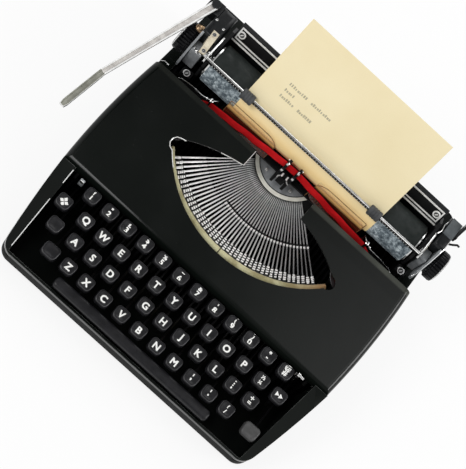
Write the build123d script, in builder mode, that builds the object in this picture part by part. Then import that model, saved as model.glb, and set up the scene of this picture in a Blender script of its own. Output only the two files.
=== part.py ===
from build123d import *
import os
from math import acos, asin, atan2, cos, hypot, radians, sin, sqrt

# Portable manual typewriter, in millimetres.
# X runs to the typist's right, Y to the back and Z up, from the middle of the body on the table.

# Body shell
front_y = -140.0
rear_y = 140.0
front_half = 131.5
middle_half = 143.5
middle_y = -50.0
hood_rear_half = 141.0
rear_half = 137.5
front_corner = 12.0
rear_corner = 10.0
wall = 2.2
foot_height = 10.0
foot_radius = 9.0
foot_x = 105.0
foot_y = 116.0
floor_thickness = 2.0
split_z = 24.0
front_wall_z = 28.0
cheek_rear_z = 73.0
deck_z = 66.0
bay_front_half = 125.5
bay_rear_half = 129.5
bay_wall = 1.5
well_half = 128.5
well_rear_y = 104.0

# Ribbon cover
hood_front_y = -64.0
hood_rear_y = 46.0
hood_front_z = 75.0
hood_ridge_y = 31.0
hood_ridge_z = 90.0
hood_rear_z = 92.0
hood_wall = 1.8
hood_round = 6.0
hood_seat_gap = 0.3
notch_half = 32.0
notch_y = 29.0
opening_tip_x = 83.0
opening_tip_front_y = -1.5
opening_tip_rear_y = 11.0
opening_front_y = -39.0

# Keyboard
key_pitch = 19.0
cap_width = 14.2
cap_depth = 13.0
shift_cap_width = 16.0
cap_thickness = 6.0
cap_corner = 3.4
cap_draft = 0.6
cap_dish_radius = 26.0
cap_dish_depth = 0.7
number_row_x = -104.75
number_row_y = -71.0
number_row_z = 70.0
row_depth = 16.0
row_drop = 9.0
margin_key_x = -118.5
shift_lock_x = -111.5
left_shift_x = -100.0
right_shift_x = 116.4
right_shift_lever_x = 118.5
lever_pivot_y = 100.0
lever_pivot_z = 22.0
lever_rise = 12.0 / 219.0
lever_thickness = 1.5
lever_height = 5.0
lever_eye = 4.0
stem_width = 6.0
shaft_radius = 2.0
running_fit = 0.05
space_bar_left = -82.0
space_bar_right = 84.0
space_bar_y = -132.0
space_bar_depth = 10.0
space_bar_z = 36.0
space_bar_thickness = 6.0
space_arm_thickness = 1.2
space_arm_z = 22.0
space_arm_half = 2.0
space_stem = 4.0

# Main frame
plate_x = 126.0
plate = 2.5
frame_front_y = -60.0
frame_rear_y = 118.0
frame_top_z = 60.0
bridge_z = 29.0
bridge_plate = 3.0
bridge_front_y = 62.0
bridge_rear_y = 80.0
guide_x = 45.0
guide_y = 70.0
guide_radius = 3.0
guide_top_z = 60.0
comb_y = -49.0
comb_top_z = 38.0
comb_thickness = 2.0
comb_slot_gap = 0.2
comb_sill = 4.0
plate_nose_z = 44.0
plate_nose_y = -44.0
spool_seat_front_y = 12.0
spool_seat_rear_y = 58.0
rest_seat = (-4.0, 8.0)
rear_plate_inset = 8.0
vibrator_guide = 2.0

# Type basket: the segment lies in a plane that leans back, under the printing point
lean = 28.0
print_y = 54.5
print_z = 108.0
print_height = 58.0
pivot_radius = 39.0
segment_radius = 43.0
segment_flat = 17.6
segment_plate = 7.0
slot_inner = 33.5
slot_width = 1.1
bar_count = 44
bar_fan = 50.0
bar_thickness = 0.9
bar_root_half = 1.9
bar_tip_half = 1.2
pivot_wire = 0.55
slug_rest_z = 61.0
slug_width = 2.8
slug_height = 7.0
slug_offset = 6.0
moving_bar = 21
rest_pad_radius = 119.0
rest_pad_y = -31.5
rest_pad_half = 85.0
rest_pad_width = 4.6
rest_pad_thickness = 4.0
rest_plate = 2.0
bush_inner = 39.6
bush_depth = 12.0
bush_wall = 2.0
bush_z = (43.0, 51.0)
type_guide_gap = 1.7
type_guide_half = 3.4
type_guide_y = 50.4
type_guide_front_y = 46.8
type_guide_plate = 1.2
type_guide_knee_z = 70.0
type_guide_z = (80.0, 86.0)

# Ribbon
spool_x = 99.0
spool_y = 30.0
spool_radius = 20.0
spool_hub = 6.0
spool_flange = 0.8
spindle_radius = 2.5
ribbon_pack = 17.0
ribbon_width = 13.0
ribbon_thickness = 0.3
ribbon_y = 51.35
ribbon_post_x = 86.0
ribbon_post_y = 50.0
ribbon_post_radius = 0.9
ribbon_post_top = 97.0
ribbon_post_z = 78.0
ribbon_print_z = 92.0
bracket_z = 66.0
bracket_plate = 2.0
vibrator_half = 7.0
vibrator_inner = 4.5
vibrator_y = 50.2
vibrator_plate = 0.8
vibrator_arm_z = 60.0
vibrator_top = 112.0
vibrator_stem_z = 36.0
vibrator_stem_half = 1.0
vibrator_joint_gap = 0.1

# Carriage
platen_y = 73.0
platen_z = 105.0
platen_radius = 18.5
platen_left = -107.5
platen_right = 116.0
platen_shaft = 4.0
knob_radius = 14.0
left_knob = (-141.6, -129.3)
right_knob = (134.3, 145.4)
end_plate = 2.5
left_plate_x = -111.0
right_plate_x = 117.0
left_cover = (-129.0, -114.0)
right_cover = (123.0, 134.0)
cover_front_y = 75.0
cover_rear_y = 105.0
cover_top_z = 127.5
cover_round = 4.0
rail_half = 127.0
rail_head = 12.0
rail_neck = 6.0
rail_y = 92.0
rail_top_z = 75.7
rail_head_thickness = 5.7
slide_gap = 0.3
beam_top_z = 84.0
beam_half = 10.0
bail_y = 58.7
bail_z = 126.0
bail_radius = 2.0
bail_pivot_y = 80.0
bail_pivot_z = 124.0
bail_arm = 1.5
bail_roller_radius = 4.7
bail_roller_length = 11.7
bail_roller_x = (-66.7, 71.2)
table_foot_y = 94.0
table_foot_z = 97.0
table_edge_y = 93.2
table_edge_z = 118.0
table_top_y = 101.0
table_top_z = 131.5
table_plate = 1.2
holder_bar_z = 74.0
holder_bar_y = 53.0
holder_inner = 23.0
holder_outer = 74.0
holder_top_z = 113.0
holder_plate = 0.6
holder_corner = 12.0
holder_bar_depth = 5.0
holder_bar_height = 2.0

# Paper, a sheet of 148 by 210
paper_left = -70.0
paper_right = 78.0
paper_radius = 18.8
paper_plate = 0.2
paper_lean = 37.0
paper_free = 93.2
paper_rise_z = 116.0
paper_tail_y = 106.5
paper_tail_z = 141.5

# Return lever and small parts
handle_pivot = (-135.0, 99.0)
handle_kink = (-163.0, -13.0)
handle_tip = (-168.0, -57.0)
handle_z = 128.0
handle_thickness = 3.5
handle_half = 3.0
ear_z = 116.0
drum_x = -98.0
drum_z = 40.0
drum_radius = 18.0
drum_width = 12.0
selector_x = 113.5
selector_y = -50.0
selector_z = 50.0
release_y = 96.0
release_z = 120.0

up = Vector(0, cos(radians(lean)), sin(radians(lean)))
outward = Vector(0, -sin(radians(lean)), cos(radians(lean)))
basket_centre = Vector(0, print_y, print_z) - outward * print_height
reach = hypot(pivot_radius, print_height)
side_reach = 200.0


def block(x, y, z, mode=Mode.ADD):
    """A block between the low and high values on each axis."""
    with Locations((sum(x) / 2, sum(y) / 2, sum(z) / 2)):
        Box(x[1] - x[0], y[1] - y[0], z[1] - z[0], mode=mode)


def cross_rod(x, y, z, radius, mode=Mode.ADD):
    """A round rod along X between the two values of x."""
    with Locations(Location(((x[0] + x[1]) / 2, y, z), (0, 90, 0))):
        Cylinder(radius, x[1] - x[0], mode=mode)


def upright(x, y, z, radius, mode=Mode.ADD):
    """A round post along Z between the two values of z."""
    with Locations((x, y, (z[0] + z[1]) / 2)):
        Cylinder(radius, z[1] - z[0], mode=mode)


def body_plan(z, inset=0.0):
    """The barrelled outline of the body at height z, drawn in by inset."""
    with BuildSketch(Plane.XY.offset(z)) as plan:
        with BuildLine():
            ThreePointArc((front_half, front_y), (middle_half, middle_y), (hood_rear_half, hood_rear_y))
            Polyline((hood_rear_half, hood_rear_y), (rear_half, rear_y),
                     (-rear_half, rear_y), (-hood_rear_half, hood_rear_y))
            ThreePointArc((-hood_rear_half, hood_rear_y), (-middle_half, middle_y), (-front_half, front_y))
            Line((-front_half, front_y), (front_half, front_y))
        make_face()
        fillet(plan.vertices().sort_by(Axis.Y)[:2], front_corner)
        fillet(plan.vertices().sort_by(Axis.Y)[-2:], rear_corner)
        if inset:
            offset(amount=-inset, mode=Mode.REPLACE)
    return plan.sketch


def bay_plan(z, margin=0.0):
    """The keyboard bay between the two cheeks, widened by margin."""
    with BuildSketch(Plane.XY.offset(z)) as plan:
        with BuildLine():
            Polyline((-bay_front_half - margin, front_y + wall), (bay_front_half + margin, front_y + wall),
                     (bay_rear_half + margin, hood_front_y), (-bay_rear_half - margin, hood_front_y),
                     close=True)
        make_face()
    return plan.sketch


def side_profile(points, x=0.0):
    """A closed outline seen from the side, on the plane at x."""
    with BuildSketch(Plane.YZ.offset(x)) as profile:
        with BuildLine():
            Polyline(*points, close=True)
        make_face()
    return profile.sketch


def side_link(x, first, first_radius, second, second_radius, bore=0.0):
    """A link between two round ends, seen from the side, with a bore at its first end."""
    with BuildSketch(Plane.YZ.offset(x)) as link:
        with Locations(first):
            Circle(first_radius)
        with Locations(second):
            Circle(second_radius)
        make_hull()
        if bore:
            with Locations(first):
                Circle(bore, mode=Mode.SUBTRACT)
    return link.sketch


def casing_profile(drop):
    """Side outline of the casing: sloping cheeks, then the level deck, lowered by drop."""
    return side_profile(((front_y - wall, split_z), (front_y - wall, front_wall_z - drop),
                         (front_y + wall, front_wall_z - drop),
                         (hood_front_y - drop, cheek_rear_z - drop), (hood_front_y - drop, deck_z - drop),
                         (rear_y + wall, deck_z - drop), (rear_y + wall, split_z)))


def hood_profile(drop):
    """Side outline of the ribbon cover, lowered by drop."""
    base = deck_z + hood_seat_gap
    rear = hood_rear_y + drop
    return side_profile(((hood_front_y + drop, base), (hood_front_y + drop, hood_front_z - drop),
                         (hood_ridge_y, hood_ridge_z - drop), (rear, hood_rear_z - drop), (rear, base)))


# Casing
with BuildPart() as lower_casing:
    extrude(body_plan(foot_height), amount=split_z - foot_height)
    fillet(lower_casing.faces().sort_by(Axis.Z)[0].edges(), floor_thickness)
    extrude(body_plan(foot_height + floor_thickness, wall), amount=split_z, mode=Mode.SUBTRACT)

with BuildPart() as casing_core:
    extrude(body_plan(split_z, wall), amount=deck_z)
    extrude(casing_profile(wall), amount=side_reach, both=True, mode=Mode.INTERSECT)

with BuildPart() as bay_box:
    extrude(bay_plan(split_z, bay_wall), amount=deck_z)
    extrude(casing_profile(0.1), amount=side_reach, both=True, mode=Mode.INTERSECT)

with BuildPart() as upper_casing:
    extrude(body_plan(split_z), amount=deck_z)
    extrude(casing_profile(0.0), amount=side_reach, both=True, mode=Mode.INTERSECT)
    add(casing_core.part, mode=Mode.SUBTRACT)
    add(bay_box.part)
    extrude(bay_plan(split_z - wall), amount=side_reach, mode=Mode.SUBTRACT)
    block((-well_half, well_half), (hood_front_y - wall, well_rear_y), (split_z, side_reach),
          mode=Mode.SUBTRACT)

with BuildPart() as hood_core:
    extrude(body_plan(split_z, hood_wall), amount=side_reach)
    extrude(hood_profile(hood_wall), amount=side_reach, both=True, mode=Mode.INTERSECT)

with BuildSketch(Plane.XY.offset(deck_z)) as basket_opening:
    tip_middle_y = (opening_tip_front_y + opening_tip_rear_y) / 2
    tip_end_x = opening_tip_x + (opening_tip_rear_y - opening_tip_front_y) / 2
    shoulder = ((notch_half + opening_tip_x) / 2, (notch_y + opening_tip_rear_y) / 2 + 3.0)
    with BuildLine():
        ThreePointArc((-opening_tip_x, opening_tip_front_y), (0, opening_front_y),
                      (opening_tip_x, opening_tip_front_y))
        ThreePointArc((opening_tip_x, opening_tip_front_y), (tip_end_x, tip_middle_y),
                      (opening_tip_x, opening_tip_rear_y))
        ThreePointArc((opening_tip_x, opening_tip_rear_y), shoulder, (notch_half, notch_y))
        Polyline((notch_half, notch_y), (notch_half, hood_rear_y + wall),
                 (-notch_half, hood_rear_y + wall), (-notch_half, notch_y))
        ThreePointArc((-notch_half, notch_y), (-shoulder[0], shoulder[1]),
                      (-opening_tip_x, opening_tip_rear_y))
        ThreePointArc((-opening_tip_x, opening_tip_rear_y), (-tip_end_x, tip_middle_y),
                      (-opening_tip_x, opening_tip_front_y))
    make_face()

with BuildPart() as ribbon_cover:
    extrude(body_plan(deck_z + hood_seat_gap), amount=side_reach)
    extrude(hood_profile(0.0), amount=side_reach, both=True, mode=Mode.INTERSECT)
    hood_edges = ribbon_cover.edges().filter_by(
        lambda edge: edge.center().Z > hood_front_z - hood_wall and edge.center().Y < hood_rear_y - wall
        and not (abs(edge.center().X) < wall and edge.center().Y > hood_front_y + wall))
    fillet(hood_edges, hood_round)
    add(hood_core.part, mode=Mode.SUBTRACT)
    extrude(basket_opening.sketch, amount=side_reach, mode=Mode.SUBTRACT)

with BuildPart() as rubber_feet:
    for foot_place in ((-foot_x, -foot_y), (foot_x, -foot_y), (-foot_x, foot_y), (foot_x, foot_y)):
        upright(foot_place[0], foot_place[1], (0, foot_height), foot_radius)


# Keyboard rows: each row starts a part of a pitch further right than the number row
row_start = (0.0, 0.5, 0.75, 1.25)


def key_x(row, index):
    return number_row_x + (row_start[row] + index) * key_pitch


def key_y(row):
    return number_row_y - row_depth * row


def key_z(row):
    return number_row_z - row_drop * row


def lever_z(y):
    return lever_pivot_z + (lever_pivot_y - y) * lever_rise


def lever_profile(x, front, stem_top):
    """Side view of a key lever: eye, bar and the stem under its cap."""
    half = lever_height / 2
    nose = front - stem_width / 2
    with BuildSketch(Plane.YZ.offset(x)) as profile:
        with BuildLine():
            Polyline((lever_pivot_y, lever_pivot_z - half), (lever_pivot_y, lever_pivot_z + half),
                     (front + stem_width / 2, lever_z(front) + half), (front + stem_width / 2, stem_top),
                     (nose, stem_top), (nose, lever_z(front) - half), close=True)
        make_face()
        with Locations((lever_pivot_y, lever_pivot_z)):
            Circle(lever_eye)
            Circle(shaft_radius + running_fit, mode=Mode.SUBTRACT)
    return profile.sketch


def tapered_cap(x, y, z, width, depth):
    """A rounded block between the two values of z, drawn in at its top."""
    with BuildSketch(Plane.XY.offset(z[0])) as low:
        with Locations((x, y)):
            RectangleRounded(width, depth, cap_corner)
    with BuildSketch(Plane.XY.offset(z[1])) as high:
        with Locations((x, y)):
            RectangleRounded(width - 2 * cap_draft, depth - 2 * cap_draft, cap_corner - cap_draft)
    loft([low.sketch.faces()[0], high.sketch.faces()[0]])


def key(row, x, width=cap_width, lever_x=None):
    """A key: a dished cap on a flat lever."""
    lever_x = x if lever_x is None else lever_x
    base = key_z(row) - cap_thickness
    extrude(lever_profile(lever_x, key_y(row), base + 1.0), amount=lever_thickness / 2, both=True)
    tapered_cap(x, key_y(row), (base, key_z(row)), width, cap_depth)
    with Locations((x, key_y(row), key_z(row) + cap_dish_radius - cap_dish_depth)):
        Sphere(cap_dish_radius, mode=Mode.SUBTRACT)


letter_rows = {1: "qwertyuiop", 2: "asdfghjkl", 3: "zxcvbnm"}
sign_keys = [(0, i) for i in range(12)] + [(1, 10), (2, 9), (2, 10), (3, 7), (3, 8), (3, 9)]
letter_parts = {}
lever_places = [key_x(row, index) for row, index in sign_keys]

for row, letters in letter_rows.items():
    for index, letter in enumerate(letters):
        with BuildPart() as letter_key:
            key(row, key_x(row, index))
        letter_parts[letter] = letter_key.part
        lever_places.append(key_x(row, index))

with BuildPart() as figure_and_sign_keys:
    for row, index in sign_keys:
        key(row, key_x(row, index))

with BuildPart() as tabulator_key:
    key(1, key_x(1, 11))

with BuildPart() as margin_release_key:
    key(1, margin_key_x)

with BuildPart() as shift_lock_key:
    key(2, shift_lock_x)

with BuildPart() as shift_keys:
    key(3, left_shift_x, shift_cap_width)
    key(3, right_shift_x, shift_cap_width, right_shift_lever_x)

lever_places += [key_x(1, 11), margin_key_x, shift_lock_x, left_shift_x, right_shift_lever_x]
arm_places = [number_row_x + key_pitch * (quarter + 0.5) / 4 for quarter in (9, 34)]


def space_arm_profile(x):
    """Side view of an arm of the space bar, which runs low enough for the caps of the bottom row."""
    half = space_arm_half
    rear = space_bar_y + space_stem / 2
    nose = space_bar_y - space_stem / 2
    stem_top = space_bar_z - space_bar_thickness + 1.0
    with BuildSketch(Plane.YZ.offset(x)) as profile:
        with BuildLine():
            Polyline((lever_pivot_y, lever_pivot_z - half), (lever_pivot_y, lever_pivot_z + half),
                     (rear, space_arm_z + half), (rear, stem_top), (nose, stem_top),
                     (nose, space_arm_z - half), close=True)
        make_face()
        with Locations((lever_pivot_y, lever_pivot_z)):
            Circle(lever_eye)
            Circle(shaft_radius + running_fit, mode=Mode.SUBTRACT)
    return profile.sketch


with BuildPart() as space_bar:
    for arm_x in arm_places:
        extrude(space_arm_profile(arm_x), amount=space_arm_thickness / 2, both=True)
    tapered_cap((space_bar_left + space_bar_right) / 2, space_bar_y,
                (space_bar_z - space_bar_thickness, space_bar_z), space_bar_right - space_bar_left,
                space_bar_depth)

with BuildPart() as key_lever_shaft_and_comb:
    floor_z = foot_height + floor_thickness
    span = plate_x - plate / 2
    cross_rod((-plate_x, plate_x), lever_pivot_y, lever_pivot_z, shaft_radius)
    block((-span, span), (comb_y - comb_thickness / 2, comb_y + comb_thickness / 2), (floor_z, comb_top_z))
    slots = [(place, lever_thickness) for place in lever_places]
    slots += [(place, space_arm_thickness) for place in arm_places]
    for place, thickness in slots:
        slot_half = thickness / 2 + comb_slot_gap
        block((place - slot_half, place + slot_half), (comb_y - comb_thickness, comb_y + comb_thickness),
              (floor_z + comb_sill, comb_top_z + comb_sill), Mode.SUBTRACT)


# Main frame: two side plates, a bridge, a rear plate and the brackets that they carry
bracket_top = bracket_z + bracket_plate
spindle_top = bracket_top + ribbon_width + 2.0
holder_end = opening_tip_x + 1.0
with BuildPart() as main_frame:
    floor_z = foot_height + floor_thickness
    span = plate_x + plate / 2
    for side in (-1, 1):
        extrude(side_profile(((frame_front_y, floor_z), (frame_rear_y, floor_z), (frame_rear_y, frame_top_z),
                              (spool_seat_rear_y + 2.0, frame_top_z), (spool_seat_rear_y, bracket_top),
                              (spool_seat_front_y, bracket_top), (spool_seat_front_y - 2.0, frame_top_z),
                              (plate_nose_y, frame_top_z), (frame_front_y, plate_nose_z)), side * plate_x),
                amount=plate / 2, both=True)
        block(sorted((side * holder_end, side * span)), (spool_seat_front_y + 2.0, spool_seat_rear_y),
              (bracket_z, bracket_top))
        upright(side * spool_x, spool_y, (bracket_top, spindle_top), spindle_radius)
        upright(side * ribbon_post_x, ribbon_post_y, (bracket_top, ribbon_post_top), ribbon_post_radius)
        block(sorted((side * holder_end, side * (holder_end + holder_bar_height * 2))),
              (holder_bar_y, holder_bar_y + holder_bar_depth),
              (bracket_top, holder_bar_z + holder_bar_height))
        upright(side * guide_x, guide_y, (bridge_z + bridge_plate, guide_top_z), guide_radius)
        guide_inner = vibrator_half + slide_gap
        block(sorted((side * guide_inner, side * (guide_inner + vibrator_guide))),
              (guide_y - vibrator_guide, guide_y + vibrator_guide),
              (bridge_z + bridge_plate, vibrator_arm_z - 4.0))
        block(sorted((side * (rest_pad_half + slide_gap), side * span)), rest_seat,
              (frame_top_z, frame_top_z + rest_plate))
    block((-holder_end, holder_end), (holder_bar_y, holder_bar_y + holder_bar_depth),
          (holder_bar_z, holder_bar_z + holder_bar_height))
    block((-span, span), (bridge_front_y, bridge_rear_y), (bridge_z, bridge_z + bridge_plate))
    block((-span, span), (frame_rear_y - rear_plate_inset, frame_rear_y - rear_plate_inset + plate),
          (floor_z, frame_top_z))
    cross_rod((selector_x - 1.5, plate_x), selector_y, selector_z, shaft_radius)
    with Locations(Location((drum_x, frame_rear_y + 3.0, drum_z), (90, 0, 0))):
        Cylinder(spindle_radius, 18.0)
    with BuildSketch(Plane.XY.offset(frame_top_z)) as rest_arc:
        with Locations((0, rest_pad_y + rest_pad_radius)):
            Circle(rest_pad_radius + rest_pad_width / 2)
            Circle(rest_pad_radius - rest_pad_width / 2, mode=Mode.SUBTRACT)
        with Locations((0, rest_pad_y + 15.0)):
            Rectangle(2 * rest_pad_half, 60.0, mode=Mode.INTERSECT)
    extrude(rest_arc.sketch, amount=rest_plate)
    cross_rod((-span - 1.0, span + 1.0), lever_pivot_y, lever_pivot_z, shaft_radius + running_fit,
              Mode.SUBTRACT)

with BuildPart() as type_rest_pad:
    with BuildSketch(Plane.XY.offset(frame_top_z + rest_plate)) as pad_arc:
        with Locations((0, rest_pad_y + rest_pad_radius)):
            Circle(rest_pad_radius + rest_pad_width / 2 - 0.3)
            Circle(rest_pad_radius - rest_pad_width / 2 + 0.3, mode=Mode.SUBTRACT)
        with Locations((0, rest_pad_y + 15.0)):
            Rectangle(2 * rest_pad_half, 60.0, mode=Mode.INTERSECT)
    extrude(pad_arc.sketch, amount=rest_pad_thickness)


# Type basket
segment_plane = Plane(origin=basket_centre, x_dir=(1, 0, 0), z_dir=outward)
bar_pitch = 2 * bar_fan / (bar_count - 1)


def bar_solids(index):
    """Add one typebar at rest: a flat shank with an eye, and its slug across the tip."""
    turn = radians(-bar_fan + bar_pitch * index)
    out = Vector(sin(turn), 0, 0) - up * cos(turn)
    pivot = basket_centre + out * pivot_radius
    phase = atan2(-out.Z, outward.Z)
    rest = acos((slug_rest_z - pivot.Z) / (reach * hypot(out.Z, outward.Z))) - phase
    tilt = rest + asin(slug_offset / reach)
    shank = sqrt(reach ** 2 - slug_offset ** 2)
    plane = Plane(origin=pivot, x_dir=out, z_dir=out.cross(outward))

    def at(along, across):
        return (along * sin(tilt) - across * cos(tilt), along * cos(tilt) + across * sin(tilt))

    tip = shank + slug_height / 2
    with BuildSketch(plane) as side:
        with BuildLine():
            Polyline(at(0, -bar_root_half), at(tip - 1.0, -bar_tip_half), at(tip - 1.0, bar_tip_half),
                     at(0, bar_root_half), close=True)
        make_face()
        Circle(bar_root_half)
        Circle(pivot_wire + 0.1, mode=Mode.SUBTRACT)
    extrude(side.sketch, amount=bar_thickness / 2, both=True)
    with BuildSketch(plane) as slug:
        with BuildLine():
            Polyline(at(tip - slug_height, -bar_tip_half), at(tip, -bar_tip_half), at(tip, slug_offset),
                     at(tip - slug_height, slug_offset), close=True)
        make_face()
    extrude(slug.sketch, amount=slug_width / 2, both=True)


with BuildPart() as typebars:
    for bar_index in range(bar_count):
        if bar_index != moving_bar:
            bar_solids(bar_index)

with BuildPart() as typebar_g:
    bar_solids(moving_bar)

with BuildPart() as segment:
    with BuildSketch(segment_plane) as segment_plan:
        Circle(segment_radius)
        with Locations((0, segment_radius - segment_flat)):
            Rectangle(3 * segment_radius, 2 * segment_radius, mode=Mode.SUBTRACT)
        slot_length = segment_radius + 2.0 - slot_inner
        with PolarLocations(slot_inner + slot_length / 2, bar_count, -90 - bar_fan, 2 * bar_fan,
                            endpoint=True):
            Rectangle(slot_length, slot_width, mode=Mode.SUBTRACT)
    extrude(segment_plan.sketch, amount=segment_plate / 2, both=True)
    with Locations(segment_plane.location * Location((0, 0, 0), (0, 0, -92 - bar_fan))):
        Torus(pivot_radius, pivot_wire, major_angle=2 * bar_fan + 4, align=None)
    for side in (-1, 1):
        block(sorted((side * bush_inner, side * (guide_x + guide_radius + bush_wall))),
              (guide_y - bush_depth / 2, guide_y + bush_depth / 2), bush_z)
        upright(side * guide_x, guide_y, bush_z, guide_radius + running_fit, Mode.SUBTRACT)
        block(sorted((side * type_guide_gap, side * type_guide_half)),
              (type_guide_front_y, type_guide_y + type_guide_plate), type_guide_z)
    foot = basket_centre - up * (segment_flat - slide_gap)
    foot_back = up * (type_guide_plate + 0.4)
    foot_outline = [foot + outward * 3.2, foot - outward * 0.5, foot - outward * 0.5 + foot_back,
                    foot + outward * 3.2 + foot_back * 1.4]
    extrude(side_profile([(corner.Y, corner.Z) for corner in foot_outline]
                         + [(type_guide_y + type_guide_plate, type_guide_knee_z + 0.5),
                            (type_guide_y + type_guide_plate, type_guide_z[1]),
                            (type_guide_y, type_guide_z[1]), (type_guide_y, type_guide_knee_z)]),
            amount=type_guide_half, both=True)

# Ribbon feed
spool_base = bracket_top + slide_gap
pack_base = spool_base + spool_flange + 0.4


def spool(x):
    """A ribbon spool with its wound ribbon."""
    top = pack_base + ribbon_width + 0.4
    upright(x, spool_y, (spool_base, spool_base + spool_flange), spool_radius)
    upright(x, spool_y, (top, top + spool_flange), spool_radius)
    upright(x, spool_y, (spool_base, top), spool_hub)
    upright(x, spool_y, (pack_base, pack_base + ribbon_width), ribbon_pack)
    upright(x, spool_y, (spool_base, spindle_top + 4.0), spindle_radius + running_fit, Mode.SUBTRACT)


with BuildPart() as left_ribbon_spool:
    spool(-spool_x)

with BuildPart() as right_ribbon_spool:
    spool(spool_x)


def ribbon_strip(start, start_z, end, end_z):
    """An upright strip of ribbon between two places on the plan."""
    run = hypot(end[0] - start[0], end[1] - start[1])
    along = Vector((end[0] - start[0]) / run, (end[1] - start[1]) / run, 0)
    with BuildSketch(Plane(origin=(start[0], start[1], start_z), x_dir=along,
                           z_dir=along.cross(Vector(0, 0, 1)))) as strip:
        with BuildLine():
            Polyline((0, 0), (run, end_z - start_z), (run, end_z - start_z + ribbon_width), (0, ribbon_width),
                     close=True)
        make_face()
    extrude(strip.sketch, amount=ribbon_thickness / 2, both=True)


post_gap = hypot(spool_x - ribbon_post_x, ribbon_y - spool_y)
pack_reach = sqrt(post_gap ** 2 - (ribbon_pack + slide_gap) ** 2)
pack_turn = atan2(spool_y - ribbon_y, spool_x - ribbon_post_x) + asin((ribbon_pack + slide_gap) / post_gap)
leave = sqrt((spool_radius + 0.5) ** 2 - ribbon_pack ** 2)
with BuildPart() as ribbon:
    for side in (-1, 1):
        post = (side * ribbon_post_x, ribbon_y)
        wound = (side * (ribbon_post_x + pack_reach * cos(pack_turn)), ribbon_y + pack_reach * sin(pack_turn))
        ratio = (pack_reach - leave) / pack_reach
        edge = (post[0] + (wound[0] - post[0]) * ratio, post[1] + (wound[1] - post[1]) * ratio)
        ribbon_strip(wound, pack_base, edge, pack_base)
        ribbon_strip(edge, pack_base, post, ribbon_post_z)
        ribbon_strip(post, ribbon_post_z, (side * vibrator_half, ribbon_y), ribbon_print_z)
    ribbon_strip((-vibrator_half, ribbon_y), ribbon_print_z, (vibrator_half, ribbon_y), ribbon_print_z)

with BuildPart() as ribbon_vibrator:
    stem = (guide_y - vibrator_stem_half, guide_y + vibrator_stem_half)
    block((-vibrator_half, vibrator_half), stem, (vibrator_stem_z, vibrator_arm_z + 2.0))
    for side in (-1, 1):
        prong = sorted((side * vibrator_inner, side * vibrator_half))
        block(prong, (vibrator_y, stem[0] - vibrator_joint_gap), (vibrator_arm_z, vibrator_arm_z + 2.0))
        block(prong, (vibrator_y, vibrator_y + vibrator_plate), (vibrator_arm_z, vibrator_top))

holder_foot_z = holder_bar_z + holder_bar_height
with BuildPart() as card_holders:
    for side in (-1, 1):
        with BuildSketch(Plane.XZ.offset(-holder_bar_y)) as holder:
            with BuildLine():
                Polyline((side * holder_inner, holder_foot_z), (side * holder_inner, holder_top_z),
                         (side * holder_outer, holder_top_z), (side * holder_outer, holder_foot_z), close=True)
            make_face()
            top_corners = holder.vertices().sort_by(Axis.Z)[-2:]
            fillet(top_corners, holder_corner)
        extrude(holder.sketch, amount=-holder_plate)


# Carriage
rail_low = rail_y - rail_head / 2
rail_high = rail_y + rail_head / 2
head_base = rail_top_z - rail_head_thickness
with BuildPart() as carriage_rail:
    block((-rail_half, rail_half), (rail_low, rail_high), (head_base, rail_top_z))
    block((-rail_half, rail_half), (rail_y - rail_neck / 2, rail_y + rail_neck / 2), (frame_top_z, head_base))

beam_low = rail_y - beam_half
beam_high = rail_y + beam_half
lip_top = head_base - slide_gap
plate_outline = ((beam_low, beam_top_z - 1.0), (beam_high + 2.0, beam_top_z - 1.0), (beam_high + 2.0, 116.0),
                 (92.0, 128.0), (74.0, 128.0), (57.0, 114.0), (57.0, 96.0), (66.0, beam_top_z),
                 (beam_low, beam_top_z))
with BuildPart() as carriage_frame:
    block((left_cover[0], right_cover[1]), (beam_low, beam_high), (rail_top_z + slide_gap, beam_top_z))
    for side in (-1, 1):
        outer = rail_y + side * beam_half
        inner = rail_y + side * (rail_head / 2 + slide_gap)
        lip = rail_y + side * (rail_neck / 2 + slide_gap)
        block((left_cover[0], right_cover[1]), sorted((outer, inner)), (lip_top - 2.5, rail_top_z + 1.0))
        block((left_cover[0], right_cover[1]), sorted((outer, lip)), (lip_top - 2.5, lip_top))
    for plate_low in (left_plate_x, right_plate_x):
        extrude(side_profile(plate_outline, plate_low), amount=end_plate)
    pin_reach = slide_gap + bail_arm + slide_gap
    cross_rod((left_plate_x - pin_reach, left_plate_x), bail_pivot_y, bail_pivot_z, shaft_radius)
    cross_rod((right_plate_x + end_plate, right_plate_x + end_plate + pin_reach), bail_pivot_y, bail_pivot_z,
              shaft_radius)
    cross_rod((left_plate_x - 1.0, right_plate_x + end_plate + 1.0), platen_y, platen_z,
              platen_shaft + running_fit, Mode.SUBTRACT)

with BuildPart() as end_covers:
    for cover in (left_cover, right_cover):
        block(cover, (cover_front_y, cover_rear_y), (beam_top_z, cover_top_z))
    fillet(end_covers.edges().filter_by(lambda edge: edge.center().Z > cover_top_z - 0.1), cover_round)
    block((handle_pivot[0] - 6.0, left_cover[0] + 1.0), (handle_pivot[1] - 6.0, cover_rear_y),
          (ear_z, handle_z - slide_gap))
    upright(*handle_pivot, (ear_z, handle_z + handle_thickness), platen_shaft)
    cross_rod((right_cover[1] - 1.0, right_cover[1] + 3.2), release_y, release_z, shaft_radius)
    cross_rod((left_cover[0] - 1.0, right_cover[1] + 1.0), platen_y, platen_z, platen_shaft + 1.0,
              Mode.SUBTRACT)

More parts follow.
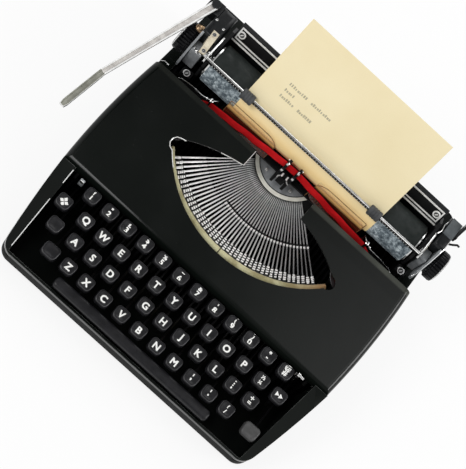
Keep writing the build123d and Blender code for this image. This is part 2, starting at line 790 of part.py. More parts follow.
with BuildPart() as paper_table:
    extrude(side_profile(((table_foot_y, table_foot_z), (table_edge_y, table_edge_z),
                          (table_top_y, table_top_z),
                          (table_top_y + 3.5, table_top_z), (table_top_y + 3.5, table_edge_z),
                          (table_top_y + 3.5 - table_plate, table_edge_z),
                          (table_top_y + 3.5 - table_plate, table_top_z - table_plate),
                          (table_top_y + table_plate / 2, table_top_z - table_plate),
                          (table_edge_y + table_plate, table_edge_z - 0.4),
                          (table_foot_y + table_plate, table_foot_z)), left_plate_x + end_plate),
            amount=right_plate_x - left_plate_x - end_plate)

with BuildPart() as platen:
    cross_rod((platen_left, platen_right), platen_y, platen_z, platen_radius)
    cross_rod((left_knob[0] + 3.0, right_knob[1] - 3.0), platen_y, platen_z, platen_shaft)

with BuildPart() as platen_knobs:
    for knob in (left_knob, right_knob):
        cross_rod(knob, platen_y, platen_z, knob_radius)
    fillet(platen_knobs.edges().filter_by(GeomType.CIRCLE), 2.0)
    cross_rod((left_knob[0] + 3.0, right_knob[1] - 3.0), platen_y, platen_z, platen_shaft + running_fit,
              Mode.SUBTRACT)

with BuildPart() as paper_bail:
    left_arm = left_plate_x - slide_gap - bail_arm
    right_arm = right_plate_x + end_plate + slide_gap
    cross_rod((left_arm, right_arm + bail_arm), bail_y, bail_z, bail_radius)
    for arm_x in (left_arm, right_arm):
        extrude(side_link(arm_x, (bail_pivot_y, bail_pivot_z), 4.0, (bail_y, bail_z), 3.5,
                          shaft_radius + running_fit), amount=bail_arm)

with BuildPart() as bail_rollers:
    for roller_x in bail_roller_x:
        half_roller = bail_roller_length / 2
        cross_rod((roller_x - half_roller, roller_x + half_roller), bail_y, bail_z, bail_roller_radius)
        cross_rod((roller_x - 10.0, roller_x + 10.0), bail_y, bail_z, bail_radius + running_fit, Mode.SUBTRACT)


def round_platen(radius, degree):
    """A place around the platen, in Y and Z; 0 degrees is its back."""
    return (platen_y + radius * cos(radians(degree)), platen_z + radius * sin(radians(degree)))


leave_angle = 180.0 - paper_lean
rise = Vector(sin(radians(paper_lean)), cos(radians(paper_lean)))
with BuildPart() as paper:
    with BuildSketch(Plane.YZ.offset(paper_left)) as sheet:
        with BuildLine():
            inner = paper_radius
            outer = paper_radius + paper_plate
            first = round_platen(inner, leave_angle)
            second = round_platen(outer, leave_angle)
            first_top = (first[0] + rise.X * paper_free, first[1] + rise.Y * paper_free)
            second_top = (second[0] + rise.X * paper_free, second[1] + rise.Y * paper_free)
            Polyline(first, first_top, second_top, second)
            ThreePointArc(second, round_platen(outer, 270.0), round_platen(outer, 360.0))
            Polyline(round_platen(outer, 360.0), (platen_y + outer, paper_rise_z),
                     (paper_tail_y, paper_tail_z - 0.15), (paper_tail_y - 0.2, paper_tail_z),
                     (platen_y + inner, paper_rise_z + 0.15), round_platen(inner, 360.0))
            ThreePointArc(round_platen(inner, 360.0), round_platen(inner, 270.0), first)
        make_face()
    extrude(sheet.sketch, amount=paper_right - paper_left)


def plan_link(z, first, first_radius, second, second_radius, bore=0.0):
    """A link between two round ends, seen from above."""
    with BuildSketch(Plane.XY.offset(z)) as link:
        with Locations(first):
            Circle(first_radius)
        with Locations(second):
            Circle(second_radius)
        make_hull()
        if bore:
            with Locations(first):
                Circle(bore, mode=Mode.SUBTRACT)
    return link.sketch


with BuildPart() as return_lever:
    extrude(plan_link(handle_z, handle_kink, handle_half, handle_pivot, handle_half + 2.0),
            amount=handle_thickness)
    extrude(plan_link(handle_z, handle_kink, handle_half, handle_tip, handle_half), amount=handle_thickness)
    upright(*handle_pivot, (handle_z, handle_z + handle_thickness), platen_shaft + running_fit, Mode.SUBTRACT)

with BuildPart() as mainspring_drum:
    with Locations(Location((drum_x, frame_rear_y - 4.5 + drum_width / 2, drum_z), (90, 0, 0))):
        Cylinder(drum_radius, drum_width)
        Cylinder(spindle_radius + running_fit, drum_width, mode=Mode.SUBTRACT)

with BuildPart() as ribbon_selector:
    elbow = (hood_front_y - 3.5, selector_z + 10.0)
    extrude(side_link(selector_x - 1.0, (selector_y, selector_z), 4.0, elbow, 2.0), amount=2.0)
    extrude(side_link(selector_x - 1.0, elbow, 2.0, (elbow[0], number_row_z + 4.0), 1.8), amount=2.0)
    cross_rod((selector_x - 1.0, selector_x + 1.0), selector_y, selector_z, shaft_radius + running_fit,
              Mode.SUBTRACT)

with BuildPart() as paper_release_lever:
    extrude(side_link(right_cover[1] + slide_gap, (release_y, release_z), 4.0,
                      (release_y + 10.0, release_z + 16.0), 3.0, shaft_radius + running_fit), amount=2.2)


# Files
os.makedirs("parts", exist_ok=True)
pieces = {
    "lower_casing": lower_casing.part,
    "upper_casing": upper_casing.part,
    "ribbon_cover": ribbon_cover.part,
    "rubber_feet": rubber_feet.part,
    "main_frame": main_frame.part,
    "key_lever_shaft_and_comb": key_lever_shaft_and_comb.part,
    "type_rest_pad": type_rest_pad.part,
    "segment": segment.part,
    "typebars": typebars.part,
    "typebar_g": typebar_g.part,
    "left_ribbon_spool": left_ribbon_spool.part,
    "right_ribbon_spool": right_ribbon_spool.part,
    "ribbon": ribbon.part,
    "ribbon_vibrator": ribbon_vibrator.part,
    "card_holders": card_holders.part,
    "carriage_rail": carriage_rail.part,
    "carriage_frame": carriage_frame.part,
    "end_covers": end_covers.part,
    "paper_table": paper_table.part,
    "platen": platen.part,
    "platen_knobs": platen_knobs.part,
    "paper": paper.part,
    "return_lever": return_lever.part,
    "paper_bail": paper_bail.part,
    "bail_rollers": bail_rollers.part,
    "mainspring_drum": mainspring_drum.part,
    "ribbon_selector": ribbon_selector.part,
    "paper_release_lever": paper_release_lever.part,
    "figure_and_sign_keys": figure_and_sign_keys.part,
    "shift_keys": shift_keys.part,
    "shift_lock_key": shift_lock_key.part,
    "margin_release_key": margin_release_key.part,
    "tabulator_key": tabulator_key.part,
    "space_bar": space_bar.part,
}
for letter, letter_part in letter_parts.items():
    pieces["key_" + letter] = letter_part
# The origin goes under the middle of the whole machine, from the return lever's grip to the right knob
box_centre_x = (handle_tip[0] - handle_half + right_knob[1]) / 2
for name, piece in pieces.items():
    placed = piece.moved(Location((-box_centre_x, 0, 0)))
    placed.label = name
    export_step(placed, f"parts/{name}.step")
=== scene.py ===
import math
from random import Random

import bmesh
import bpy
from mathutils import Matrix, Vector


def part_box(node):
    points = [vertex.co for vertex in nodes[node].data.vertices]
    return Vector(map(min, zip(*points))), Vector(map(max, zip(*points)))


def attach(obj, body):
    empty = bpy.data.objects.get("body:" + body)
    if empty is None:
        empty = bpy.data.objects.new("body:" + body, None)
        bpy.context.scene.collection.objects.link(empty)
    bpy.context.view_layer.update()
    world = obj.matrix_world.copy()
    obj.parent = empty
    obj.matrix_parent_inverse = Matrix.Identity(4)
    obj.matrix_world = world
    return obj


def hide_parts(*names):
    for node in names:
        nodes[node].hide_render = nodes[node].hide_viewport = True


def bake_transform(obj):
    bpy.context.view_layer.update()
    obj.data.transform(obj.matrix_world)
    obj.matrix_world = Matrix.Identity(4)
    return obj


# Manual typewriter. Shapes are written in millimetres from the middle of the body, X to the typist's
# right, Y to the back and Z up, and are moved into the frame when each mesh is made.
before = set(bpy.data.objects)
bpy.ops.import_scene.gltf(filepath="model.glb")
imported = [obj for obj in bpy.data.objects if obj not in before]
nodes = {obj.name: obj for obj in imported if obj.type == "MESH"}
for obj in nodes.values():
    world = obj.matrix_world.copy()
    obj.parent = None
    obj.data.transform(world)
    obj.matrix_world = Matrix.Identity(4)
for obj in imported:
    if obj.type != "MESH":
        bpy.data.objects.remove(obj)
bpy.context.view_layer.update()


def corners(node):
    """Lowest and highest corner of a CAD node, in body millimetres."""
    low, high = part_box(node)
    return [Vector((p.x - MIDDLE, p.y, p.z)) * 1000 for p in (low, high)]


body_low, body_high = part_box("lower_casing")
MIDDLE = (body_low.x + body_high.x) / 2
TO_FRAME = Matrix.Translation((MIDDLE, 0, 0)) @ Matrix.Scale(0.001, 4)
X = Vector((1, 0, 0))
Z = Vector((0, 0, 1))


def add_object(name, data):
    """A new object in the scene."""
    made = bpy.data.objects.new(name, data)
    bpy.context.scene.collection.objects.link(made)
    return made


# Camera: the photograph looks down on the typist's side, turned so that the machine's right points down
def add_camera():
    azimuth, elevation, roll = (math.radians(a) for a in (7.85, 65.70, 49.53))
    target = Vector((0.01206, -0.01822, 0.080))
    distance = 1.3384
    forward = Vector((math.sin(azimuth) * math.cos(elevation), math.cos(azimuth) * math.cos(elevation),
                      -math.sin(elevation)))
    level = Vector((math.cos(azimuth), -math.sin(azimuth), 0))
    above = level.cross(forward)
    across = level * math.cos(roll) + above * math.sin(roll)
    upward = above * math.cos(roll) - level * math.sin(roll)
    data = bpy.data.cameras.new("camera")
    data.lens = 127.416
    data.sensor_width = 36
    camera = add_object("camera", data)
    turn = Matrix((across, upward, -forward)).transposed().to_4x4()
    camera.matrix_world = Matrix.Translation(target - forward * distance) @ turn
    bpy.context.scene.camera = camera


# Materials
def rgba(colour):
    """A colour or a grey with its alpha, or the socket that it comes from."""
    if isinstance(colour, bpy.types.NodeSocket):
        return colour
    return (*colour, 1) if hasattr(colour, "__len__") else (colour, colour, colour, 1)


def fill(tree, node, inputs):
    """Set the inputs of a node, or link them where a socket is given."""
    for key, value in inputs.items():
        if isinstance(value, bpy.types.NodeSocket):
            tree.links.new(value, node.inputs[key])
        else:
            node.inputs[key].default_value = value


def add_node(tree, kind, inputs, **settings):
    node = tree.nodes.new("ShaderNode" + kind)
    for name, value in settings.items():
        setattr(node, name, value)
    fill(tree, node, inputs)
    return node


class Look:
    """A procedural material built on one Principled shader."""

    def __init__(self, name, rough=0.5, metal=0.0, **sockets):
        self.material = bpy.data.materials.new(name)
        self.material.use_nodes = True
        self.tree = self.material.node_tree
        self.place = self.tree.nodes.new("ShaderNodeTexCoord").outputs["Object"]
        self.set(Roughness=rough, Metallic=metal, **sockets)

    def set(self, **sockets):
        """Set or link inputs of the shader."""
        fill(self.tree, self.tree.nodes["Principled BSDF"],
             {name.replace("_", " "): value for name, value in sockets.items()})

    def node(self, kind, inputs, **settings):
        return add_node(self.tree, kind, inputs, **settings).outputs

    def noise(self, scale, detail=3.0, stretch=(1, 1, 1), rough=0.5):
        place = self.node("Mapping", {"Scale": stretch, "Vector": self.place})[0]
        inputs = {"Scale": scale, "Detail": detail, "Roughness": rough, "Vector": place}
        return self.node("TexNoise", inputs)["Fac"]

    def wave(self, scale, axis):
        return self.node("TexWave", {"Scale": scale, "Vector": self.place}, bands_direction=axis)["Fac"]

    def ramp(self, factor, *stops):
        """A colour ramp over factor: stops are (position, colour or grey)."""
        node = add_node(self.tree, "ValToRGB", {"Fac": factor})
        elements = node.color_ramp.elements
        while len(elements) < len(stops):
            elements.new(0.5)
        for element, (position, colour) in zip(elements, stops):
            element.position = position
            element.color = rgba(colour)
        return node.outputs["Color"]

    def blotch(self, low, high, scale, detail=3.0, start=0.3, end=0.7, **noise):
        """From one colour to another in blotches."""
        return self.ramp(self.noise(scale, detail, **noise), (start, low), (end, high))

    def mix(self, factor, first, second, blend="MIX"):
        return self.node("Mix", {"Factor": factor, 6: rgba(first), 7: rgba(second)}, data_type="RGBA",
                         blend_type=blend)[2]

    def edges(self, width):
        """About 1 on edges sharper than the width, and 0 on flats."""
        bevel = self.node("Bevel", {"Radius": width}, samples=6)[0]
        normal = self.node("NewGeometry", {})["Normal"]
        dot = self.node("VectorMath", {0: bevel, 1: normal}, operation="DOT_PRODUCT")["Value"]
        return self.ramp(dot, (0.70, 1.0), (0.97, 0.0))

    def along(self, axis, start, end):
        """0 before start and 1 after end, in metres along an axis."""
        place = self.node("SeparateXYZ", {0: self.place})[axis]
        return self.node("MapRange", {"From Min": start, "From Max": end, "Value": place})[0]

    def bump(self, height, strength, distance):
        inputs = {"Strength": strength, "Distance": distance, "Height": height}
        self.set(Normal=self.node("Bump", inputs)["Normal"])


def enamel(name, low, high, shine=(0.10, 0.22), edge=(0.22, 0.23, 0.22), rear_highlight_band=None, coat=0.25,
           specular=0.16, dull_front=None):
    """Gloss black paint: a little orange peel and dust, a painted highlight along its edges in patches, and where
    asked a painted highlight band near the rear.
    """
    look = Look(name, Specular_IOR_Level=specular, Coat_Weight=coat, Coat_Roughness=0.06, Coat_IOR=1.35)
    base = look.blotch(low, high, 9.0, 4.0, end=0.75)
    base = look.mix(look.blotch(0.0, 0.12, 420.0, 2.0, 0.72, 0.80), base, (0.06, 0.06, 0.055))
    # Painted highlight: a paler band along the rear of the cover, stronger on the right, where the paint reflects
    # the light.
    if rear_highlight_band:
        rear_highlight = look.mix(look.along("Y", *rear_highlight_band), 0.0, look.blotch(0.45, 0.95, 45.0, 4.0))
        rear_highlight = look.mix(look.along("X", -0.02, 0.06), look.mix(0.8, rear_highlight, 0.0), rear_highlight)
        base = look.mix(rear_highlight, base, (0.055, 0.059, 0.048))
    # Painted highlight: sharp edges turn towards the edge colour, in patches.
    edge_highlight = look.mix(look.edges(0.0006), 0.0, look.blotch(0.1, 0.9, 60.0, start=0.35, end=0.6))
    look.set(Base_Color=look.mix(edge_highlight, base, edge), Roughness=look.blotch(*shine, 35.0, 5.0, end=0.75))
    look.bump(look.noise(700.0, 1.0), 0.03, 0.0004)
    if dull_front:
        gloss = look.along("Y", *dull_front)
        look.set(Specular_IOR_Level=look.ramp(gloss, (0.0, 0.0), (1.0, specular)),
                 Coat_Weight=look.ramp(gloss, (0.0, 0.0), (1.0, coat)))
    return look.material


def moulded(name, low, high, shine, grain=2200.0, specular=0.4):
    """Moulded plastic or hard rubber with a fine grain."""
    look = Look(name, Specular_IOR_Level=specular)
    look.set(Base_Color=look.blotch(low, high, 140.0, 4.0, end=0.72), Roughness=look.blotch(*shine, 90.0, 4.0))
    look.bump(look.noise(grain, 2.0), 0.12, 0.0001)
    return look.material


def steel(name, low, high, shine, stretch=1, metal=1.0, grain=0.05, painted_shade_right=None):
    """Plated or ground steel, brushed along Y where stretch is small, and darkened on the right by a painted
    shade where asked.
    """
    look = Look(name, metal=metal)
    brushed = {"stretch": (1, stretch, 1)}
    base = look.blotch(low, high, 160.0, 5.0, 0.28, 0.72, **brushed)
    # Painted shade: darker towards the right, where the typebars face away from the light.
    if painted_shade_right:
        base = look.mix(look.along("X", -0.015, 0.075), base,
                        look.blotch(*painted_shade_right, 160.0, 5.0, 0.28, 0.72, **brushed))
    look.set(Base_Color=base, Roughness=look.blotch(*shine, 300.0, 4.0, end=0.72, **brushed))
    look.bump(look.noise(1600.0, 2.0, **brushed), grain, 0.0001)
    return look.material


def felt():
    look = Look("pressed_felt", rough=1.0, Specular_IOR_Level=0.1, Sheen_Weight=0.3, Sheen_Roughness=0.5)
    base = look.blotch((0.42, 0.40, 0.22), (0.74, 0.71, 0.46), 1500.0, 6.0, rough=0.7)
    base = look.mix(look.blotch(0.0, 0.75, 75.0, 4.0, 0.42, 0.62), base, (0.26, 0.22, 0.10))
    look.set(Base_Color=look.mix(look.along("X", 0.070, 0.096), base, (0.34, 0.20, 0.09)))
    look.bump(look.noise(2600.0, 6.0, rough=0.7), 0.7, 0.0004)
    return look.material


def inked_ribbon(name, low, high, weave_dark):
    look = Look(name, rough=0.85, Specular_IOR_Level=0.08)
    base = look.blotch(low, high, 70.0, 4.0, 0.28)
    weave = look.mix(0.5, look.wave(900.0, "X"), look.wave(900.0, "Z"), "MULTIPLY")
    look.set(Base_Color=look.mix(look.ramp(weave, (0.0, 0.18), (0.6, 0.0)), base, weave_dark))
    look.bump(weave, 0.35, 0.0002)
    return look.material


def platen_rubber():
    """Ground rubber, dark at the back and pale-mottled over its front: partly chalk dust and paper fibre where
    the type strikes, partly a painted highlight where the front faces the light.
    """
    look = Look("platen_rubber", Specular_IOR_Level=0.25)
    dark = look.blotch((0.005, 0.008, 0.007), (0.014, 0.018, 0.017), 60.0)
    dust_and_highlight = look.ramp(look.noise(230.0, 9.0, rough=0.78), (0.36, (0.022, 0.034, 0.042)),
                       (0.48, (0.12, 0.15, 0.17)), (0.58, (0.38, 0.44, 0.465)), (0.68, (0.80, 0.86, 0.88)))
    axis_y = (corners("platen")[0].y + corners("platen")[1].y) / 2000
    # Painted highlight mixed with dust: the front of the roll turns pale and mottled.
    look.set(Base_Color=look.mix(look.along("Y", axis_y - 0.0100, axis_y - 0.0112), dark, dust_and_highlight),
             Roughness=look.blotch(0.5, 0.85, 180.0, 6.0))
    look.bump(look.noise(900.0, 5.0), 0.25, 0.0003)
    return look.material


def paper_stock():
    """Cream paper, turned warmer and then brown in its lowest part by a painted shade where it curls round the
    platen.
    """
    look = Look("cream_paper", rough=0.9, Specular_IOR_Level=0.12)
    base = look.blotch((0.88, 0.765, 0.49), (0.93, 0.825, 0.555), 18.0)
    fibre = look.blotch(0.08, 0.0, 1400.0, 5.0, 0.35, 0.65, rough=0.7)
    base = look.mix(fibre, base, (0.60, 0.46, 0.24))
    # Painted shade: the lowest part turns warmer and then dark brown.
    low = look.along("Z", 0.126, 0.092)
    base = look.mix(look.ramp(low, (0.0, 0.0), (0.45, 0.75)), base, (1.0, 0.70, 0.29))
    look.set(Base_Color=look.mix(look.ramp(low, (0.76, 0.0), (0.98, 1.0)), base, (0.20, 0.05, 0.015)))
    look.bump(look.noise(1100.0, 5.0), 0.15, 0.0002)
    return look.material


def clear_sheet():
    """Thin clear plastic, a little scuffed, with a painted shade that turns it amber, then brown and nearly
    opaque towards its foot.
    """
    look = Look("clear_sheet", Specular_IOR_Level=0.5)
    clear = look.blotch((0.80, 0.62, 0.36), (0.92, 0.80, 0.58), 60.0)
    # Painted shade: amber, then brown and more opaque towards the foot.
    foot = look.along("Z", 0.1080, 0.0940)
    amber = look.mix(look.ramp(foot, (0.32, 0.0), (0.66, 1.0)), (0.95, 0.56, 0.20), (0.09, 0.018, 0.008))
    look.set(Base_Color=look.mix(look.ramp(foot, (0.0, 0.0), (0.25, 1.0)), clear, amber),
             Alpha=look.ramp(foot, (0.0, 0.06), (0.35, 0.85)),
             Roughness=look.blotch(0.10, 0.28, 240.0, 5.0, 0.4, 0.75))
    look.bump(look.noise(30.0, 2.0), 0.05, 0.0005)
    return look.material


def paint(name, low, high, scale=400.0, rough=0.6):
    look = Look(name, rough=rough, Specular_IOR_Level=0.3)
    look.set(Base_Color=look.blotch(low, high, scale, 4.0))
    return look.material


BLACK = (0.0020, 0.0030, 0.0024), (0.0050, 0.0064, 0.0054)
LOOKS = {
    "enamel": enamel("gloss_enamel", *BLACK),
    "satin": enamel("satin_enamel", (0.006, 0.007, 0.0075), (0.013, 0.014, 0.015), (0.25, 0.42), 0.20),
    "low_casing": enamel("lower_enamel", (0.0015, 0.0020, 0.0017), (0.0035, 0.0044, 0.0038), (0.35, 0.5),
                         coat=0.0, specular=0.03),
    "hood": enamel("hood_enamel", *BLACK, edge=(0.03, 0.031, 0.03), rear_highlight_band=(0.0410, 0.0425),
                   dull_front=(-0.0625, -0.0605)),
    "lacquer": moulded("black_lacquer", (0.0025, 0.0025, 0.0028), (0.006, 0.006, 0.0065), (0.35, 0.55), 1200.0,
                       0.12),
    "cap": moulded("key_plastic", (0.006, 0.006, 0.007), (0.013, 0.013, 0.015), (0.26, 0.40), specular=0.25),
    "cap_rim_highlight": moulded("painted_key_rim_highlight", (0.030, 0.030, 0.032), (0.085, 0.085, 0.088), (0.3, 0.45)),
    # The paler plastic of the right shift key.
    "pale_cap": moulded("pale_key_plastic", 0.035, 0.065, (0.35, 0.5)),
    "knob": moulded("knob_plastic", (0.003, 0.003, 0.004), (0.008, 0.008, 0.009), (0.20, 0.32), specular=0.12),
    "slate": moulded("slate_plastic", (0.040, 0.048, 0.052), (0.080, 0.090, 0.096), (0.4, 0.6), 900.0),
    "grip": moulded("worn_grip", (0.15, 0.15, 0.125), (0.26, 0.26, 0.22), (0.3, 0.5), 900.0),
    "beige": moulded("cream_bracket", (0.42, 0.36, 0.26), (0.62, 0.56, 0.43), (0.35, 0.5), 900.0),
    "rubber": moulded("foot_rubber", 0.012, 0.028, (0.7, 0.9), 900.0),
    "roller": moulded("roller_rubber", (0.040, 0.042, 0.044), (0.080, 0.083, 0.087), (0.55, 0.75), 1500.0, 0.25),
    "frame": steel("frame_steel", (0.06, 0.06, 0.065), (0.14, 0.14, 0.145), (0.35, 0.55), metal=0.8),
    "bright": steel("bright_steel", (0.52, 0.52, 0.51), (0.80, 0.80, 0.79), (0.14, 0.30), 0.08),
    "chrome": steel("chrome", 0.70, 0.86, (0.08, 0.20), 0.06),
    "bar": steel("typebar_steel", 0.80, (1.0, 1.0, 0.99), (0.25, 0.45), 0.1, 0.15, 0.1,
                 painted_shade_right=((0.13, 0.13, 0.135), 0.28)),
    "slug": steel("slug_steel", (0.92, 0.91, 0.90), (1.0, 1.0, 0.99), (0.25, 0.42), metal=0.15, grain=0.2),
    "plated": steel("white_plating", (0.74, 0.74, 0.73), (0.92, 0.92, 0.91), (0.14, 0.28), metal=0.25),
    "hollow": steel("dull_plating", (0.38, 0.36, 0.34), (0.62, 0.60, 0.57), (0.3, 0.5), metal=0.3),
    "ring": steel("ground_ring", (0.70, 0.68, 0.59), (0.95, 0.93, 0.84), (0.4, 0.6), metal=0.3),
    "disc": steel("blued_plate", (0.16, 0.17, 0.18), (0.34, 0.355, 0.365), (0.30, 0.48), metal=0.15),
    "spool": steel("spool_plate", (0.18, 0.18, 0.19), (0.42, 0.42, 0.43), (0.3, 0.5)),
    "brass": steel("worn_brass", (0.20, 0.13, 0.08), (0.42, 0.30, 0.18), (0.3, 0.5)),
    "felt": felt(),
    "ribbon": inked_ribbon("inked_ribbon", (0.56, 0.006, 0.010), (0.90, 0.018, 0.022), (0.20, 0.0, 0.004)),
    "ribbon_edge": inked_ribbon("ribbon_edge", (0.018, 0.002, 0.003), (0.050, 0.004, 0.006), (0.004, 0.0, 0.0)),
    "rubber_roll": platen_rubber(),
    "paper": paper_stock(),
    "clear": clear_sheet(),
    "white": paint("legend_paint", (0.74, 0.74, 0.71), (0.86, 0.86, 0.84)),
    "grey_paint": paint("pale_line_paint", (0.62, 0.62, 0.60), (0.84, 0.84, 0.82)),
    "amber": paint("amber_edge", (0.16, 0.075, 0.03), (0.30, 0.15, 0.06)),
    "brown_mark": paint("brown_mark", (0.10, 0.022, 0.010), (0.20, 0.05, 0.02)),
    "type_ink": paint("faded_ink", (0.40, 0.36, 0.25), (0.56, 0.50, 0.34), 700.0, 0.9),
    # Painted shade: a dark finish for screw slots and wells, spool holes, the notch and bodies of the typebars
    # and a plate in the segment.
    "shade": paint("painted_shade_dark", 0.015, 0.04),
}


# Mesh helpers
class Shape:
    """One mesh, drawn in body millimetres. Faces take the finish that is set when they are added."""

    def __init__(self, finish):
        self.mesh = bmesh.new()
        self.finish = finish
        self.finishes = []

    def cover(self, faces, finish=None):
        """Give faces a finish, or else the one that is set."""
        finish = finish or self.finish
        if finish not in self.finishes:
            self.finishes.append(finish)
        for face in faces:
            face.material_index = self.finishes.index(finish)

    def flat(self, points):
        """A single face."""
        self.mesh.faces.new([self.mesh.verts.new(p) for p in points])

    def skin(self, rings, closed=True, caps=True):
        rows = [[self.mesh.verts.new(p) for p in ring] for ring in rings]
        faces = []
        for low, high in zip(rows, rows[1:]):
            count = len(low)
            for i in range(count if closed else count - 1):
                j = (i + 1) % count
                faces.append(self.mesh.faces.new((low[i], low[j], high[j], high[i])))
        if caps:
            faces += [self.mesh.faces.new(rows[0][::-1]), self.mesh.faces.new(rows[-1])]
        self.cover(faces)
        return faces

    def prism(self, outline, offset, bevel=0.0):
        """Push a flat outline of 3-D points by the vector offset, with its edges rounded."""
        faces = self.skin([outline, [Vector(p) + Vector(offset) for p in outline]])
        if bevel:
            edges = list({edge for face in faces for edge in face.edges})
            made = bmesh.ops.bevel(self.mesh, geom=edges, offset=bevel, segments=2, affect="EDGES",
                                   profile=0.6, clamp_overlap=True)
            self.cover(made["faces"])

    def side(self, x, outline, thick, bevel=0.0):
        """A plate across X from its outline of (y, z)."""
        self.prism([Vector((x, y, z)) for y, z in outline], X * thick, bevel)

    def block(self, low, high, bevel=0.3):
        base = [Vector((x, y, low[2])) for x, y in ((low[0], low[1]), (high[0], low[1]), (high[0], high[1]),
                                                    (low[0], high[1]))]
        self.prism(base, Z * (high[2] - low[2]), bevel)

    def tick(self, x, y, low, high, half):
        """A thin painted mark on the front of something."""
        outline = ((x - half, low), (x + half, low), (x + half, high), (x - half, high))
        self.skin([[(u, depth, z) for u, z in outline] for depth in (y, y - 0.03)])

    def turned(self, profile, centre, axis, sides=32, flutes=0, depth=0.0):
        """Turn a profile of (radius, distance along the axis) round an axis, with optional flutes."""
        axis = Vector(axis).normalized()
        first = axis.orthogonal().normalized()
        second = axis.cross(first)
        rings = []
        for radius, along in profile:
            ring = []
            for i in range(sides):
                angle = math.tau * i / sides
                reach = radius
                if flutes and radius > depth * 4:
                    reach = radius - depth * (0.5 + 0.5 * math.cos(flutes * angle)) ** 3
                ring.append(Vector(centre) + axis * along
                            + (first * math.cos(angle) + second * math.sin(angle)) * max(reach, 0.01))
            rings.append(ring)
        self.skin(rings)

    def tube(self, points, radius, sides=8):
        """A round bar through the points."""
        points = [Vector(p) for p in points]
        rings = []
        for i, point in enumerate(points):
            ahead = points[min(i + 1, len(points) - 1)] - points[max(i - 1, 0)]
            ahead.normalize()
            first = (ahead.orthogonal() if i == 0 else first - ahead * first.dot(ahead)).normalized()
            second = ahead.cross(first)
            rings.append([point + (first * math.cos(math.tau * k / sides)
                                   + second * math.sin(math.tau * k / sides)) * radius for k in range(sides)])
        self.skin(rings)

    def slot(self, centre, along, axis, long, wide, height):
        """The slot of a screw head, twice as long and wide as given."""
        across = axis.cross(along)
        self.prism([centre + along * u * long + across * v * wide
                    for u, v in ((-1, -1), (1, -1), (1, 1), (-1, 1))], axis * height)

    def screw(self, centre, axis, radius):
        """A domed screw head with its slot painted dark as shade."""
        centre, axis = Vector(centre), Vector(axis).normalized()
        self.turned([(radius, 0), (radius, 0.5), (radius * 0.85, 1.0), (radius * 0.5, 1.25), (0, 1.3)],
                    centre, axis, 20)
        turn, first = 0.6, axis.orthogonal().normalized()
        keep, self.finish = self.finish, "shade"
        self.slot(centre + axis * 1.12, first * math.cos(turn) + axis.cross(first) * math.sin(turn), axis,
                  radius * 0.85, radius * 0.13, 0.22)
        self.finish = keep

    def ring_screw(self, centre, axis, radius, rim="chrome"):
        """A screw head with a bright rim and a bright slotted middle in a well painted dark as shade."""
        centre, axis = Vector(centre), Vector(axis).normalized()
        self.finish = rim
        self.turned([(radius, 0), (radius, 0.5), (radius * 0.9, 0.9), (radius * 0.68, 0.9), (radius * 0.62, 0.3),
                     (0.05, 0.3)], centre, axis, 24)
        self.finish = "shade"
        self.turned([(radius * 0.61, 0.32), (radius * 0.61, 0.42), (0.05, 0.42)], centre, axis, 24)
        self.finish = rim
        self.slot(centre + axis * 0.4, axis.orthogonal().normalized(), axis, radius * 0.4, radius * 0.15, 0.3)

    def make(self, name, body, replaces=(), sharp=38.0, blend=None, turn_outward=True):
        """Make the object, and let it ride on its body, or where blend is given, bake it into the frame on its
        own.
        """
        if turn_outward:
            bmesh.ops.recalc_face_normals(self.mesh, faces=self.mesh.faces)
        data = bpy.data.meshes.new(name)
        self.mesh.to_mesh(data)
        self.mesh.free()
        data.transform(TO_FRAME)
        data.shade_smooth()
        data.set_sharp_from_angle(angle=math.radians(sharp))
        for finish in self.finishes or [self.finish]:
            data.materials.append(LOOKS[finish])
        piece = add_object(name, data)
        if blend:
            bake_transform(piece)
        else:
            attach(piece, body)
        if replaces:
            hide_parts(*replaces)
        return piece


def rounded(width, depth, radius, steps=5, narrow=0.0):
    """A rounded rectangle about the origin, anticlockwise, drawn in at its front by the share narrow."""
    points = []
    for quarter in range(4):
        centre = (width / 2 - radius) * (1, -1, -1, 1)[quarter], (depth / 2 - radius) * (1, 1, -1, -1)[quarter]
        for step in range(steps + 1):
            angle = math.radians(90 * quarter + 90 * step / steps)
            x, y = centre[0] + radius * math.cos(angle), centre[1] + radius * math.sin(angle)
            points.append((x * (1 - narrow * max(0.0, -y) / depth * 2), y))
    return points


def dress(node, finish, bevel=0.0):
    """Give a CAD node its finish and, where asked, rounded edges."""
    piece = nodes[node]
    piece.data.materials.clear()
    piece.data.materials.append(LOOKS[finish])
    if bevel:
        weld = piece.modifiers.new("weld", "WELD")
        weld.merge_threshold = 0.00002
        rounding = piece.modifiers.new("rounding", "BEVEL")
        rounding.width = bevel / 1000
        rounding.segments = 2
        rounding.limit_method = "ANGLE"
        rounding.angle_limit = math.radians(50)
        rounding.harden_normals = False


# Casing
def dress_nodes():
    """Finishes for the CAD nodes that keep their own mesh."""
    for node, finish, bevel in (("lower_casing", "low_casing", 0.8), ("upper_casing", "enamel", 0.7),
                                ("ribbon_cover", "hood", 0.6), ("main_frame", "lacquer", 0),
                                ("key_lever_shaft_and_comb", "lacquer", 0), ("carriage_rail", "frame", 0),
                                ("mainspring_drum", "frame", 0), ("segment", "lacquer", 0),
                                ("ribbon_vibrator", "lacquer", 0), ("carriage_frame", "lacquer", 0.4),
                                ("end_covers", "satin", 0.9), ("paper_table", "satin", 0.3),
                                ("card_holders", "clear", 0), ("paper_release_lever", "satin", 0),
                                ("ribbon_selector", "bright", 0)):
        dress(node, finish, bevel)


